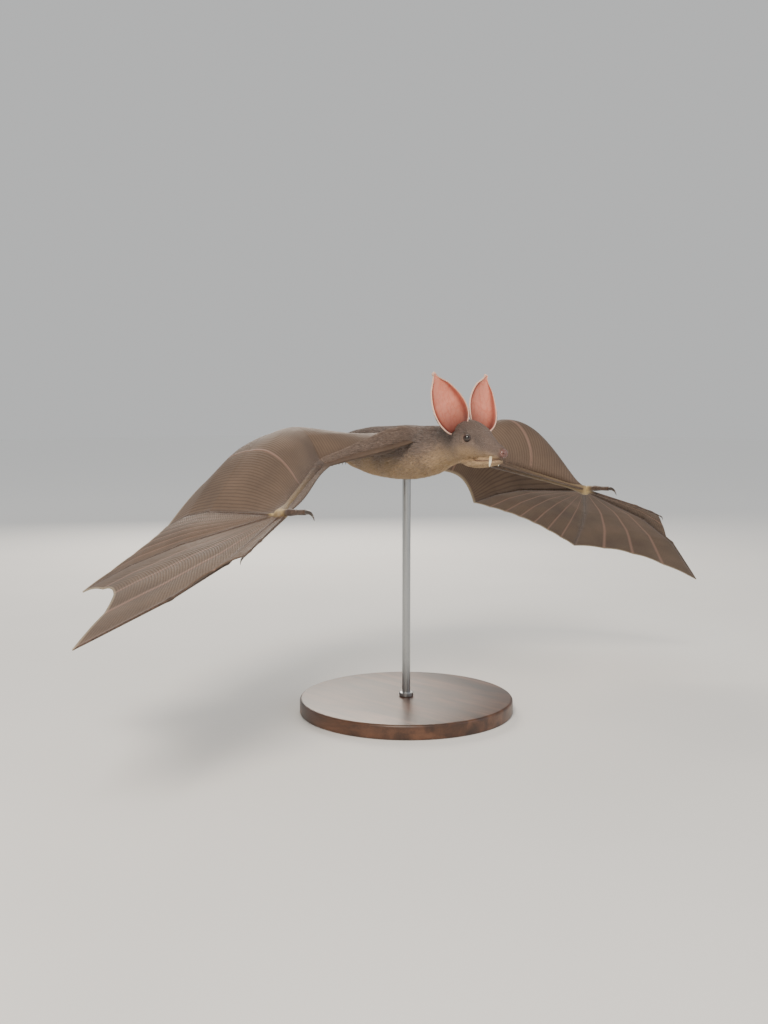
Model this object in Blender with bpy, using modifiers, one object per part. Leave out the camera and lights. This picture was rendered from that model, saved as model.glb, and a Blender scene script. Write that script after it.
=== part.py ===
"""A life-size little red flying fox in gliding flight, on a plain display stand.

The bat looks along -Y, its left wing is on +X and +Z is up. The origin is the middle of the stand's
underside. Sizes are in millimetres here and become metres where a mesh is made. Body points are
measured from the bat's own datum, BAT_HEIGHT above the table and BAT_AHEAD in front of the stand's rod.
"""

import math

import bmesh
import bpy
import numpy as np

MM = 0.001
GAP = 0.3  # clearance that touching pieces keep
UP = np.array([0.0, 0.0, 1.0])

# Stand
BASE_RADIUS = 105.0
BASE_THICKNESS = 14.0
BASE_EDGE_ROUND = 2.5
ROD_RADIUS = 4.0
BAT_HEIGHT = 200.0
BAT_AHEAD = 12.0

# Body: y, centre height, half width, height above and depth below the centre line, from rump to nose
BODY = np.array([
    (106.0, 61.0, 2.0, 2.0, 2.0),
    (101.0, 61.0, 10.0, 8.5, 9.0),
    (88.0, 59.5, 19.0, 15.5, 18.0),
    (62.0, 57.0, 26.0, 23.0, 24.5),
    (30.0, 55.0, 30.5, 26.5, 27.0),
    (-2.0, 56.0, 32.0, 26.5, 27.0),
    (-24.0, 60.0, 26.0, 22.5, 25.5),
    (-40.0, 64.5, 20.5, 19.0, 23.5),
    (-54.0, 68.5, 19.5, 18.5, 25.0),
    (-68.0, 69.5, 19.0, 18.5, 24.0),
    (-79.0, 67.5, 15.5, 15.5, 20.5),
    (-88.0, 63.5, 11.2, 11.5, 14.8),
    (-97.0, 59.5, 8.4, 8.2, 9.6),
    (-105.0, 56.5, 6.8, 6.4, 6.2),
    (-109.0, 55.3, 4.2, 3.4, 4.0),
])
TRUNK_FRONT = -22.0  # where the trunk meets the neck
NECK_FRONT = -49.0  # where the neck meets the head
# Lower jaw: the same columns, from its hinge to the lips
JAW = np.array([
    (-66.0, 46.4, 13.0, 6.0, 4.4),
    (-76.0, 46.4, 12.0, 6.0, 4.6),
    (-86.0, 47.4, 9.4, 5.0, 4.6),
    (-96.0, 48.6, 7.0, 3.8, 4.0),
    (-102.0, 49.4, 5.4, 3.0, 3.5),
    (-105.5, 50.0, 3.0, 1.8, 2.2),
])
AROUND = 18  # corners in a body section
NOSE = dict(centre=(0.0, -108.2, 56.4), radii=(5.2, 3.4, 4.4))
EYE_RADIUS = 3.9
EYE_CENTRE = (13.2, -76.8, 70.2)
CANINE_ROOT = (6.3, -98.5, 54.0)
CANINE_LENGTH = 9.5
CANINE_RADIUS = 1.4
CANINE_CURVE = 1.6  # how far the tip lies behind the root

# Ears: a cupped leaf from its root in the crown to its tip
EAR_ROOT = (14.5, -64.0, 77.0)
EAR_TIP = (37.0, -57.0, 129.0)
EAR_WIDTH = 37.0
EAR_FACING = {"L": -7.0, "R": 9.5}  # degrees that the opening turns outwards from straight ahead
EAR_CUP = 50.0  # half angle of the ear's curled section at its widest, degrees
EAR_WALL = 1.2

# Wing skeleton
SHOULDER = (23.0, -6.0, 71.0)
HUMERUS = dict(length=91.0, sweep=15.7, droop=15.5)
FOREARM = dict(length=129.0, sweep=-33.3, droop=16.2)
# Radii of upper arm and forearm at fractions of their length; the forearm's last rows are the wrist's knot
UPPER_ARM_RADII = ((0, 12.4), (0.2, 11.6), (0.4, 9.6), (0.6, 7.6), (0.8, 6.2), (0.93, 5.6), (1.0, 4.6))
FOREARM_RADII = (
    (0, 3.6), (0.05, 5.4), (0.2, 5.2), (0.45, 4.2), (0.7, 3.4),
    (0.88, 3.3), (0.95, 4.9), (1.0, 6.0), (1.035, 4.6), (1.05, 2.6),
)  # fmt: skip
FINGER_BONES = {2: (60.0, 20.0, 13.0), 3: (86.0, 60.0, 78.0), 4: (84.0, 49.0, 49.0), 5: (90.0, 37.0, 36.0)}
# Metacarpal's sweep and droop, then what each further bone adds to them, in degrees
FINGER_POSE = {
    "L": {2: (-31.0, 17.0, 3, 3), 3: (-17.7, 22.7, 10, 8), 4: (34.0, 21.6, 6, 5), 5: (85.5, 2.7, 3, 8)},
    "R": {2: (-31.0, 13.0, 3, 3), 3: (-21.1, 18.9, 12, 0), 4: (50.2, 17.5, 6, 5), 5: (90.4, 2.1, 3, 8)},
}
# How far behind the wrist's middle each finger starts
FINGER_ROOT_SPREAD = {2: -5.0, 3: -1.5, 4: 1.5, 5: 4.6}
FINGER_THICKNESS = {2: (1.6, 0.8), 3: (1.9, 0.75), 4: (1.7, 0.75), 5: (1.8, 0.75)}
KNUCKLE = 1.3  # a joint's thickness over the shaft's
THUMB_ROOT = (-1.0, -4.0, 2.0)  # from the wrist's middle
THUMB_POSE = {"L": (-98.0, -6.0), "R": (-78.0, -8.0)}
THUMB_BONES = (9.0, 25.0)
THUMB_RADII = (3.4, 3.0, 2.6, 2.4, 2.2, 1.9)  # from root to claw
THUMB_CLAW = 12.0
INDEX_CLAW = 6.0

# Wing membrane
MEMBRANE = 1.0  # thickness
SCALLOP = {"L": {"3_4": 0.06, "4_5": 0.03}, "R": {"3_4": 0.16, "4_5": 0.22}}
HAND_BILLOW = 4.0
INDEX_PANEL_REACH = (0.95, 0.60)  # how far the first panel runs along digits 2 and 3
ARM_BILLOW = {"L": 56.0, "R": 32.0}
BILLOW_SKEW = {"L": 2.6, "R": 1.15}  # above 1 moves the fullest part outwards along the span
CAMBER_SKEW = {"L": 0.55, "R": 0.75}  # below 1 moves it forwards along the chord
TRAILING_SKEW = {"L": 2.6, "R": 1.5}
TRAILING_RISE = {"L": 22.0, "R": 26.0}
TRAILING_SCALLOP = 10.0
LEADING_ROOT = (22.0, -20.0, 66.0)  # where the leading membrane's free edge leaves the neck's side
LEADING_SCALLOP = 0.78
WRIST_FRONT = 3.5  # how far before the wrist's middle the leading membrane ends

# Where the wing leaves the body, high on the sides of the back
FLANK = ((18.0, 4.0, 73.0), (16.0, 30.0, 74.0), (13.0, 60.0, 69.0))

# Legs
HIP = (14.0, 84.0, 58.0)
KNEE = (40.0, 103.0, 57.0)
ANKLE = (48.0, 141.0, 48.0)
TOE_ROOT = (50.0, 151.0, 46.0)
TOE_LENGTH = 12.0
# Each toe, then its claw: how far along in toe lengths, how far down, and its radius
TOE_STATIONS = ((0, 0, 1.5), (0.85, 0, 1.3), (1.1, 1.2, 1.05), (1.35, 3.8, 0.65), (1.52, 6.6, 0.25))
TOE_SPREAD = 3.2  # half the ball's width over which the toes start
THIGH_RADII = ((0, 9.5), (0.3, 8.8), (0.6, 7.2), (0.85, 5.9), (1.0, 5.2))
SHANK_RADII = ((0, 4.8), (0.1, 4.6), (0.4, 3.6), (0.8, 2.6), (1.0, 2.8))
SOLE_RADII = ((0, 2.8), (0.35, 3.4), (0.7, 4.2), (1.0, 4.4), (1.18, 3.0))
LEG_SCALLOP = 0.42
RUMP_EDGE = (4.0, 101.0, 58.5)
ANKLE_INSIDE = (45.5, 140.0, 48.0)


def smooth(knots, values, at):
    """Cubic Hermite curve through values at the rising knots, with each slope taken from its neighbours."""
    slopes = np.gradient(values, knots, axis=0)
    i = np.clip(np.searchsorted(knots, at, side="right") - 1, 0, len(knots) - 2)
    step = (knots[i + 1] - knots[i])[:, None]
    t = ((at - knots[i])[:, None]) / step
    start = (2 * t**3 - 3 * t**2 + 1) * values[i] + (t**3 - 2 * t**2 + t) * step * slopes[i]
    return start + (3 * t**2 - 2 * t**3) * values[i + 1] + (t**3 - t**2) * step * slopes[i + 1]


def direction(sweep, droop):
    """Unit vector outwards along +X, turned back by sweep and down by droop, both in degrees."""
    s, d = math.radians(sweep), math.radians(droop)
    return np.array([math.cos(d) * math.cos(s), math.cos(d) * math.sin(s), -math.sin(d)])


def chain(start, bones, sweep, droop, sweep_step=0.0, droop_step=0.0):
    """Joint points of bones laid end to end, each turned a little further than the one before."""
    points = [np.array(start, float)]
    for i, bone in enumerate(bones):
        points.append(points[-1] + bone * direction(sweep + i * sweep_step, droop + i * droop_step))
    return np.array(points)


def along(points, fractions):
    """Points at the given fractions of a bent line's length."""
    lengths = np.concatenate([[0], np.cumsum(np.linalg.norm(np.diff(points, axis=0), axis=1))])
    return np.stack([np.interp(np.asarray(fractions) * lengths[-1], lengths, c) for c in points.T], axis=-1)


def material(name, colour, roughness, metallic=0.0):
    """One of the part's finishes: a plain colour with its roughness."""
    made = bpy.data.materials.new(name)
    made.use_nodes = True
    shader = made.node_tree.nodes["Principled BSDF"]
    shader.inputs["Base Color"].default_value = (*colour, 1.0)
    shader.inputs["Roughness"].default_value = roughness
    shader.inputs["Metallic"].default_value = metallic
    return made


def collection(name):
    """A new collection in the scene."""
    made = bpy.data.collections.new(name)
    bpy.context.scene.collection.children.link(made)
    return made


for old in list(bpy.data.objects):
    bpy.data.objects.remove(old, do_unlink=True)
PARTS = collection("flying_fox")
CUTTERS = collection("flying_fox_cutters")
COAT = material("coat", (0.16, 0.115, 0.065), 0.9)
BARE_SKIN = material("wing_skin", (0.10, 0.062, 0.04), 0.55)
EAR_SKIN = material("ear_skin", (0.45, 0.20, 0.16), 0.6)
NOSE_SKIN = material("nose_skin", (0.22, 0.10, 0.09), 0.35)
EYE = material("eye", (0.02, 0.01, 0.006), 0.08)
CLAW = material("claw", (0.03, 0.022, 0.018), 0.35)
TOOTH = material("tooth", (0.80, 0.74, 0.62), 0.3)
STAND_WOOD = material("stand_wood", (0.05, 0.03, 0.02), 0.45)
STAND_STEEL = material("stand_steel", (0.35, 0.35, 0.35), 0.35, 1.0)


def keep(obj, finish, cutter):
    """Puts an object among the parts with its finish or, where it only cuts, among the cutters."""
    for home in list(obj.users_collection):
        home.objects.unlink(obj)
    (CUTTERS if cutter else PARTS).objects.link(obj)
    if cutter:
        obj.hide_render = True
        obj.display_type = "WIRE"
    obj.data.materials.clear()
    obj.data.materials.append(finish)
    return obj


def mesh_object(name, points, faces, finish, cutter=False):
    """A mesh in the bat's datum, lifted onto the stand, with its faces pointing out."""
    mesh = bpy.data.meshes.new(name)
    placed = (np.asarray(points) + (0.0, -BAT_AHEAD, BAT_HEIGHT)) * MM
    mesh.from_pydata(placed.tolist(), [], faces)
    work = bmesh.new()
    work.from_mesh(mesh)
    bmesh.ops.recalc_face_normals(work, faces=work.faces)
    work.to_mesh(mesh)
    work.free()
    mesh.shade_smooth()
    mesh.set_sharp_from_angle(angle=math.radians(40))
    return keep(bpy.data.objects.new(name, mesh), finish, cutter)


def loft(name, rings, finish, cutter=False):
    """A closed skin over rings of equally many points, with a flat cap at each end."""
    count, around = rings.shape[:2]
    faces = [list(range(around)), list(range((count - 1) * around, count * around))]
    for i in range(count - 1):
        for j in range(around):
            k = (j + 1) % around
            faces.append([i * around + j, i * around + k, (i + 1) * around + k, (i + 1) * around + j])
    return mesh_object(name, rings.reshape(-1, 3), faces, finish, cutter)


def body_rings(stations, at, around, grow=0.0):
    """Egg-shaped sections square to the centre line, at the given y values."""
    order = stations[::-1]
    rows = smooth(order[:, 0], order, np.asarray(at, float))
    inside = np.clip(at, order[0, 0] + 0.5, order[-1, 0] - 0.5)
    slope = smooth(order[:, 0], order, inside + 0.5)[:, :2] - smooth(order[:, 0], order, inside - 0.5)[:, :2]
    slope /= np.linalg.norm(slope, axis=1)[:, None]
    angle = np.linspace(0, 2 * math.pi, around, endpoint=False)
    side, rise = np.cos(angle), np.sin(angle)
    half_width, above, below = (rows[:, i : i + 1] + grow for i in (2, 3, 4))
    lift = np.where(rise > 0, above, below) * rise
    x = half_width * side
    y = rows[:, :1] - lift * slope[:, 1:]
    z = rows[:, 1:2] + lift * slope[:, :1]
    return np.stack([x, y, z], axis=-1)


def limb(name, points, radii, finish, sides=8, cutter=False):
    """A tapered tube: a curve with round bevel and filled caps, made a mesh and welded."""
    data = bpy.data.curves.new(name, "CURVE")
    data.dimensions = "3D"
    data.bevel_depth = MM
    data.bevel_resolution = sides // 2 - 2
    data.use_fill_caps = True
    spline = data.splines.new("POLY")
    spline.points.add(len(points) - 1)
    placed = (np.asarray(points) + (0.0, -BAT_AHEAD, BAT_HEIGHT)) * MM
    for spot, place, radius in zip(spline.points, placed, radii):
        spot.co = (*place, 1.0)
        spot.radius = radius
    guide = bpy.data.objects.new(name + "_curve", data)
    PARTS.objects.link(guide)
    bpy.context.view_layer.update()
    mesh = bpy.data.meshes.new_from_object(guide.evaluated_get(bpy.context.evaluated_depsgraph_get()))
    made = bpy.data.objects.new(name, mesh)
    made.matrix_world = guide.matrix_world
    bpy.data.objects.remove(guide, do_unlink=True)
    work = bmesh.new()
    work.from_mesh(mesh)
    bmesh.ops.remove_doubles(work, verts=work.verts, dist=1e-6)
    bmesh.ops.recalc_face_normals(work, faces=work.faces)
    work.to_mesh(mesh)
    work.free()
    mesh.shade_smooth()
    return keep(made, finish, cutter)


def ellipsoid(name, centre, radii, finish, segments, rings, cutter=False):
    """A UV sphere stretched to three radii."""
    mesh = bpy.data.meshes.new(name)
    work = bmesh.new()
    bmesh.ops.create_uvsphere(work, u_segments=segments, v_segments=rings, radius=1.0)
    place = np.array(centre) + (0.0, -BAT_AHEAD, BAT_HEIGHT)
    for vertex in work.verts:
        vertex.co = [(vertex.co[i] * radii[i] + place[i]) * MM for i in range(3)]
    work.to_mesh(mesh)
    work.free()
    mesh.shade_smooth()
    return keep(bpy.data.objects.new(name, mesh), finish, cutter)


def sheet(name, grid, finish, thickness=MEMBRANE):
    """A thin plate on a grid of points, with half its thickness on each side."""
    rows, columns = grid.shape[:2]
    faces = [
        [i * columns + j, i * columns + j + 1, (i + 1) * columns + j + 1, (i + 1) * columns + j]
        for i in range(rows - 1)
        for j in range(columns - 1)
    ]
    made = mesh_object(name, grid.reshape(-1, 3), faces, finish)
    wall = made.modifiers.new("wall", "SOLIDIFY")
    wall.thickness = thickness * MM
    wall.offset = 0.0
    return made


BOOLEANS = []  # object, the others, operation, solver: added once every piece is there


def boolean(obj, others, operation="DIFFERENCE", solver="EXACT"):
    """Cuts the others out of an object, or joins them to it."""
    BOOLEANS.append((obj, others, operation, solver))


def trim_sheet(obj, others):
    """Cuts a thin plate, which the manifold solver leaves without loose slivers."""
    boolean(obj, others, solver="MANIFOLD")


def add_booleans(obj, others, operation, solver):
    """Adds one cut or union to an object for each of the others."""
    for other in others:
        step = obj.modifiers.new(f"{operation.lower()}_{other.name}", "BOOLEAN")
        step.operation = operation
        step.solver = solver
        step.object = other


def mirrored(point, side):
    """A point of the left side, mirrored where side is R."""
    return np.asarray(point, float) * ((1.0 if side == "L" else -1.0), 1.0, 1.0)


# Trunk, neck and head: one smooth body parted by two thin cuts


def trunk(grow=0.0, cutter=False):
    """The body from rump to shoulders."""
    at = np.concatenate([[106, 104.5, 101, 95, 86], np.linspace(74, TRUNK_FRONT + GAP / 2, 8)])
    at = at + np.where(at > 40, grow, 0.0)
    rings = body_rings(BODY, at, AROUND, grow)
    return loft("cut_trunk" if cutter else "trunk", rings, COAT, cutter)


def neck(grow=0.0, cutter=False):
    """From the shoulders to the back of the head."""
    at = np.linspace(TRUNK_FRONT - GAP / 2, NECK_FRONT + GAP / 2, 5)
    return loft("cut_neck" if cutter else "neck", body_rings(BODY, at, AROUND, grow), COAT, cutter)


def head(grow=0.0, cutter=False):
    """The head without its lower jaw."""
    at = np.concatenate([np.linspace(NECK_FRONT - GAP / 2, -92, 8), [-97, -102, -106, -109]])
    if cutter:
        at[0] += 1.0
        at[-1] -= grow
    return loft("cut_head" if cutter else "head", body_rings(BODY, at, AROUND, grow), COAT, cutter)


def lower_jaw():
    """The lower jaw, under the muzzle."""
    at = np.array([-66, -70, -76, -82, -88, -94, -99, -103, -105.5])
    return loft("lower_jaw", body_rings(JAW, at, 12), COAT)


def eye(side, grow=0.0, cutter=False):
    """The eyeball, sunk in the head."""
    name = f"cut_eye_{side}" if cutter else f"eye_{side}"
    return ellipsoid(name, mirrored(EYE_CENTRE, side), (EYE_RADIUS + grow,) * 3, EYE, 10, 6, cutter)


def nose(grow=0.0, cutter=False):
    """The bare pad at the muzzle's end."""
    radii = [r + grow for r in NOSE["radii"]]
    return ellipsoid("cut_nose" if cutter else "nose", NOSE["centre"], radii, NOSE_SKIN, 10, 6, cutter)


def canine(side, grow=0.0, cutter=False):
    """An upper canine: a slim cone that curves back a little."""
    t = np.linspace(0, 1, 4)
    root = mirrored(CANINE_ROOT, side)
    points = root + np.stack([0 * t, CANINE_CURVE * t**2, -CANINE_LENGTH * t], axis=1)
    name = f"cut_canine_{side}" if cutter else f"canine_{side}"
    return limb(name, points, CANINE_RADIUS * (1 - 0.85 * t) + grow, TOOTH, 6, cutter)


def ear(side):
    """A leaf curled about its long axis: width rises fast from the root and falls to a point."""
    v = np.linspace(0, 1, 9)[:, None]
    u = np.linspace(-1, 1, 7)[None, :]
    root, tip = mirrored(EAR_ROOT, side), mirrored(EAR_TIP, side)
    axis = (tip - root) / np.linalg.norm(tip - root)
    turn = math.radians(EAR_FACING[side])
    facing = mirrored((math.sin(turn), -math.cos(turn), 0.0), side)
    facing -= axis * (facing @ axis)
    facing /= np.linalg.norm(facing)
    across = np.cross(axis, facing)
    half_width = EAR_WIDTH / 2 * (np.sin(math.pi * (0.13 + 0.85 * v**0.8)) ** 0.85 + 0.03)
    curl = math.radians(EAR_CUP) * (1 - 0.45 * v)
    sideways = half_width * np.sin(curl * u) / np.sin(curl)
    forwards = half_width * (1 - np.cos(curl * u)) / np.sin(curl) - 3.0 * np.sin(math.pi * v)
    grid = root + v[..., None] * (tip - root) + sideways[..., None] * across + forwards[..., None] * facing
    return sheet(f"ear_{side}", grid, EAR_SKIN, EAR_WALL)


# Wings


def arm_points(side):
    """Shoulder, elbow and wrist."""
    shoulder = np.array(SHOULDER)
    elbow = shoulder + HUMERUS["length"] * direction(HUMERUS["sweep"], HUMERUS["droop"])
    wrist = elbow + FOREARM["length"] * direction(FOREARM["sweep"], FOREARM["droop"])
    return mirrored(shoulder, side), mirrored(elbow, side), mirrored(wrist, side)


def finger_points(side, digit):
    """Joints of one finger, from its root beside the wrist's middle to its tip."""
    wrist = arm_points("L")[2]
    spread = direction(FOREARM["sweep"] + 90, 0) * FINGER_ROOT_SPREAD[digit]
    return mirrored(chain(wrist + spread, FINGER_BONES[digit], *FINGER_POSE[side][digit]), side)


def upper_arm(side, grow=0.0, cutter=False):
    """The upper arm in its coat, thick at the shoulder."""
    shoulder, elbow, _ = arm_points(side)
    t, radii = np.array(UPPER_ARM_RADII).T
    points = shoulder + t[:, None] * (elbow - shoulder)
    points[-1] += (elbow - shoulder) / HUMERUS["length"] * grow * 0.5
    name = f"cut_upper_arm_{side}" if cutter else f"upper_arm_{side}"
    return limb(name, points, radii + grow, COAT, 10, cutter)


def forearm(side, grow=0.0, cutter=False):
    """The forearm with the wrist's knot of small bones at its end."""
    _, elbow, wrist = arm_points(side)
    t, radii = np.array(FOREARM_RADII).T
    name = f"cut_forearm_{side}" if cutter else f"forearm_{side}"
    return limb(name, elbow + t[:, None] * (wrist - elbow), radii + grow, BARE_SKIN, 8, cutter)


def finger(side, digit, grow=0.0, cutter=False):
    """A finger: each bone waisted between thicker joints, thinner with every bone."""
    joints = finger_points(side, digit)
    thick, thin = FINGER_THICKNESS[digit]
    shaft = np.linspace(thick, thin, len(joints))
    points, radii = [], []
    for i in range(len(joints) - 1):
        for f in (0.0, 0.12, 0.5, 0.88):
            points.append(joints[i] + f * (joints[i + 1] - joints[i]))
            swell = KNUCKLE if f == 0.0 else 1.0
            radii.append((shaft[i] + f * (shaft[i + 1] - shaft[i])) * swell + grow)
    last = (joints[-1] - joints[-2]) / np.linalg.norm(joints[-1] - joints[-2])
    points.append(joints[-1] + last * grow)
    radii.append(thin + grow)
    name = f"cut_digit{digit}_{side}" if cutter else f"digit{digit}_{side}"
    return limb(name, np.array(points), np.array(radii), BARE_SKIN, 6, cutter)


def hooked_claw(name, root, forward, down, length, radius):
    """A claw: a quarter turn of a shrinking hook that starts along forward and bends down."""
    t = np.linspace(0, 1, 6)
    bend = t * math.radians(75)
    reach = length * np.sin(bend) / math.radians(75)
    drop = length * (1 - np.cos(bend)) / math.radians(75)
    points = root + reach[:, None] * forward + drop[:, None] * down
    return limb(name, points, radius * (1 - 0.9 * t) + 0.08, CLAW, 6)


def thumb(side, grow=0.0, cutter=False):
    """The thumb, with the place and the direction of its end for the claw."""
    root = arm_points("L")[2] + THUMB_ROOT
    joints = mirrored(chain(root, THUMB_BONES, *THUMB_POSE[side], -6, 4), side)
    points = along(joints, np.linspace(0, 1, len(THUMB_RADII)))
    name = f"cut_thumb_{side}" if cutter else f"thumb_{side}"
    made = limb(name, points, np.array(THUMB_RADII) + grow, BARE_SKIN, 8, cutter)
    forward = (joints[-1] - joints[-2]) / THUMB_BONES[-1]
    return made, joints[-1], forward


def thumb_claw(side):
    """The thumb's large hooked claw."""
    _, end, forward = thumb_end[side]
    root = end + forward * GAP
    down = -UP - forward * (-UP @ forward)
    return hooked_claw(f"thumb_claw_{side}", root, forward, down / np.linalg.norm(down), THUMB_CLAW, 1.9)


def index_claw(side):
    """The small claw at the second finger's tip."""
    joints = finger_points(side, 2)
    forward = (joints[-1] - joints[-2]) / np.linalg.norm(joints[-1] - joints[-2])
    down = -UP - forward * (-UP @ forward)
    root = joints[-1] + forward * GAP
    return hooked_claw(f"digit2_claw_{side}", root, forward, down / np.linalg.norm(down), INDEX_CLAW, 0.8)


def hand_panel(side, first, second, scallop, reach=(1.0, 1.0), steps=(6, 5)):
    """Membrane between two fingers: straight lines between them, drawn in at the free edge, billowed up."""
    s = np.linspace(0, 1, steps[0] + 1)[:, None]
    t = np.linspace(0, 1, steps[1] + 1)[None, :]
    pulled = s * (1 - scallop * np.sin(math.pi * t))
    near = along(finger_points(side, first), pulled * reach[0])
    far = along(finger_points(side, second), pulled * reach[1])
    rise = HAND_BILLOW * np.sin(math.pi * t) * np.sin(math.pi * 0.5 * s) * reach[1]
    grid = near + t[..., None] * (far - near) + rise[..., None] * UP
    return sheet(f"wing_panel_{first}_{second}_{side}", grid, BARE_SKIN)


def flank_points(side):
    """Where the wing leaves the body: along the flank, the thigh and the shank to the ankle."""
    points = np.array([*FLANK, HIP, KNEE, ANKLE])
    return mirrored(points, side)


def trailing_edge(side, u):
    """From the ankle to the fifth finger's tip, drawn in and lifted by the air."""
    ankle, tip = mirrored(ANKLE, side), finger_points(side, 5)[-1]
    bow = np.sin(math.pi * u ** TRAILING_SKEW[side])
    lift = np.stack([0 * u, -TRAILING_SCALLOP * bow, TRAILING_RISE[side] * bow], -1)
    return ankle + u[..., None] * (tip - ankle) + lift


def arm_panel(side):
    """Membrane between arm, fifth finger, leg and flank: a Coons patch over those edges, billowed up."""
    elbow, wrist = arm_points(side)[1:]
    bends = np.array([flank_points(side)[0], elbow, wrist, finger_points(side, 5)[0]])
    bone = np.linalg.norm(np.diff(bends, axis=0), axis=1)
    elbow_at = bone[0] / bone.sum()
    u = np.concatenate([np.linspace(0, elbow_at, 5), np.linspace(elbow_at, 1, 7)[1:]])
    v = np.linspace(0, 1, 6)
    lead = along(bends, u)
    trail = trailing_edge(side, u)
    inner = along(flank_points(side), v)
    outer = along(finger_points(side, 5), v)
    uu, vv = np.meshgrid(u, v, indexing="ij")
    uu, vv = uu[..., None], vv[..., None]
    grid = (1 - vv) * lead[:, None] + vv * trail[:, None] + (1 - uu) * inner[None] + uu * outer[None]
    grid -= (1 - uu) * (1 - vv) * lead[0] + uu * (1 - vv) * lead[-1]
    grid -= (1 - uu) * vv * trail[0] + uu * vv * trail[-1]
    lift = np.sin(math.pi * uu ** BILLOW_SKEW[side]) * np.sin(math.pi * vv ** CAMBER_SKEW[side])
    grid += ARM_BILLOW[side] * lift * UP
    return sheet(f"plagiopatagium_{side}", grid, BARE_SKIN)


def leading_panel(side):
    """The small membrane before the elbow, from the shoulder to the wrist, with a hollow free edge."""
    shoulder, elbow, wrist = arm_points(side)
    elbow_at = HUMERUS["length"] / (HUMERUS["length"] + FOREARM["length"])
    u = np.concatenate([np.linspace(0, elbow_at, 5), np.linspace(elbow_at, 1, 6)[1:]])
    v = np.linspace(0, 1, 4)
    front = mirrored(LEADING_ROOT, side)
    arm = along(np.array([shoulder, elbow, wrist]), u)
    edge = along(np.array([front, wrist + (0.0, -WRIST_FRONT, 0.0)]), u)
    edge += (LEADING_SCALLOP * np.sin(math.pi * u))[:, None] * (arm - edge)
    grid = arm[:, None] + v[None, :, None] * (edge - arm)[:, None]
    return sheet(f"propatagium_{side}", grid, BARE_SKIN)


# Legs


def thigh(side, grow=0.0, cutter=False):
    """The thigh in its coat."""
    hip, knee = mirrored(HIP, side), mirrored(KNEE, side)
    t, radii = np.array(THIGH_RADII).T
    name = f"cut_thigh_{side}" if cutter else f"thigh_{side}"
    return limb(name, hip + t[:, None] * (knee - hip), radii + grow, COAT, 10, cutter)


def shank(side, grow=0.0, cutter=False):
    """The bare lower leg; its cutter runs on past the ankle into the foot."""
    knee, ankle = mirrored(KNEE, side), mirrored(ANKLE, side)
    t, radii = np.array(SHANK_RADII).T
    if cutter:
        t[-1] += 0.05
    name = f"cut_shank_{side}" if cutter else f"shank_{side}"
    return limb(name, knee + t[:, None] * (ankle - knee), radii + grow, BARE_SKIN, 8, cutter)


def foot(side):
    """The sole with five toes and their claws, joined into one piece."""
    ankle, ball = mirrored(ANKLE, side), mirrored(TOE_ROOT, side)
    back = (ball - ankle) / np.linalg.norm(ball - ankle)
    across = np.cross(back, UP)
    across /= np.linalg.norm(across)
    down = np.cross(across, back)
    down *= -np.sign(down[2])
    t, radii = np.array(SOLE_RADII).T
    made = limb(f"foot_{side}", ankle + t[:, None] * (ball - ankle), radii, BARE_SKIN, 10)
    reach, drop, radii = np.array(TOE_STATIONS).T
    toes = []
    for i in range(5):
        offset = (i - 2) / 2
        start = ball + across * offset * TOE_SPREAD - back
        heading = back + across * offset * 0.28
        heading /= np.linalg.norm(heading)
        points = start + (reach * TOE_LENGTH)[:, None] * heading + drop[:, None] * down
        toes.append(limb(f"cut_toe{i}_{side}", points, radii, BARE_SKIN, 4, cutter=True))
    boolean(made, toes, "UNION", "MANIFOLD")
    return made


def leg_panel(side):
    """The narrow membrane along the inside of the leg, from the rump to the ankle."""
    u = np.linspace(0, 1, 8)
    v = np.linspace(0, 1, 5)
    leg = along(mirrored(np.array([HIP, KNEE, ANKLE]), side), u)
    edge = along(mirrored(np.array([RUMP_EDGE, ANKLE_INSIDE]), side), u)
    edge += (LEG_SCALLOP * np.sin(math.pi * u))[:, None] * (leg - edge)
    grid = leg[:, None] + v[None, :, None] * (edge - leg)[:, None]
    return sheet(f"uropatagium_{side}", grid, BARE_SKIN)


# Stand


def stand():
    """A round wooden base and one steel rod that ends under the belly."""
    bpy.ops.mesh.primitive_cylinder_add(vertices=32, radius=BASE_RADIUS * MM, depth=BASE_THICKNESS * MM)
    base = bpy.context.object
    base.name = "stand_base"
    base.location.z = BASE_THICKNESS / 2 * MM
    edge = base.modifiers.new("rounded edge", "BEVEL")
    edge.width = BASE_EDGE_ROUND * MM
    edge.segments = 1
    keep(base, STAND_WOOD, False)
    top = BASE_THICKNESS + GAP - BAT_HEIGHT
    points = np.array([(0.0, BAT_AHEAD, top), (0.0, BAT_AHEAD, 45.0)])
    return limb("stand_rod", points, [ROD_RADIUS] * 2, STAND_STEEL, 16)


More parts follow.
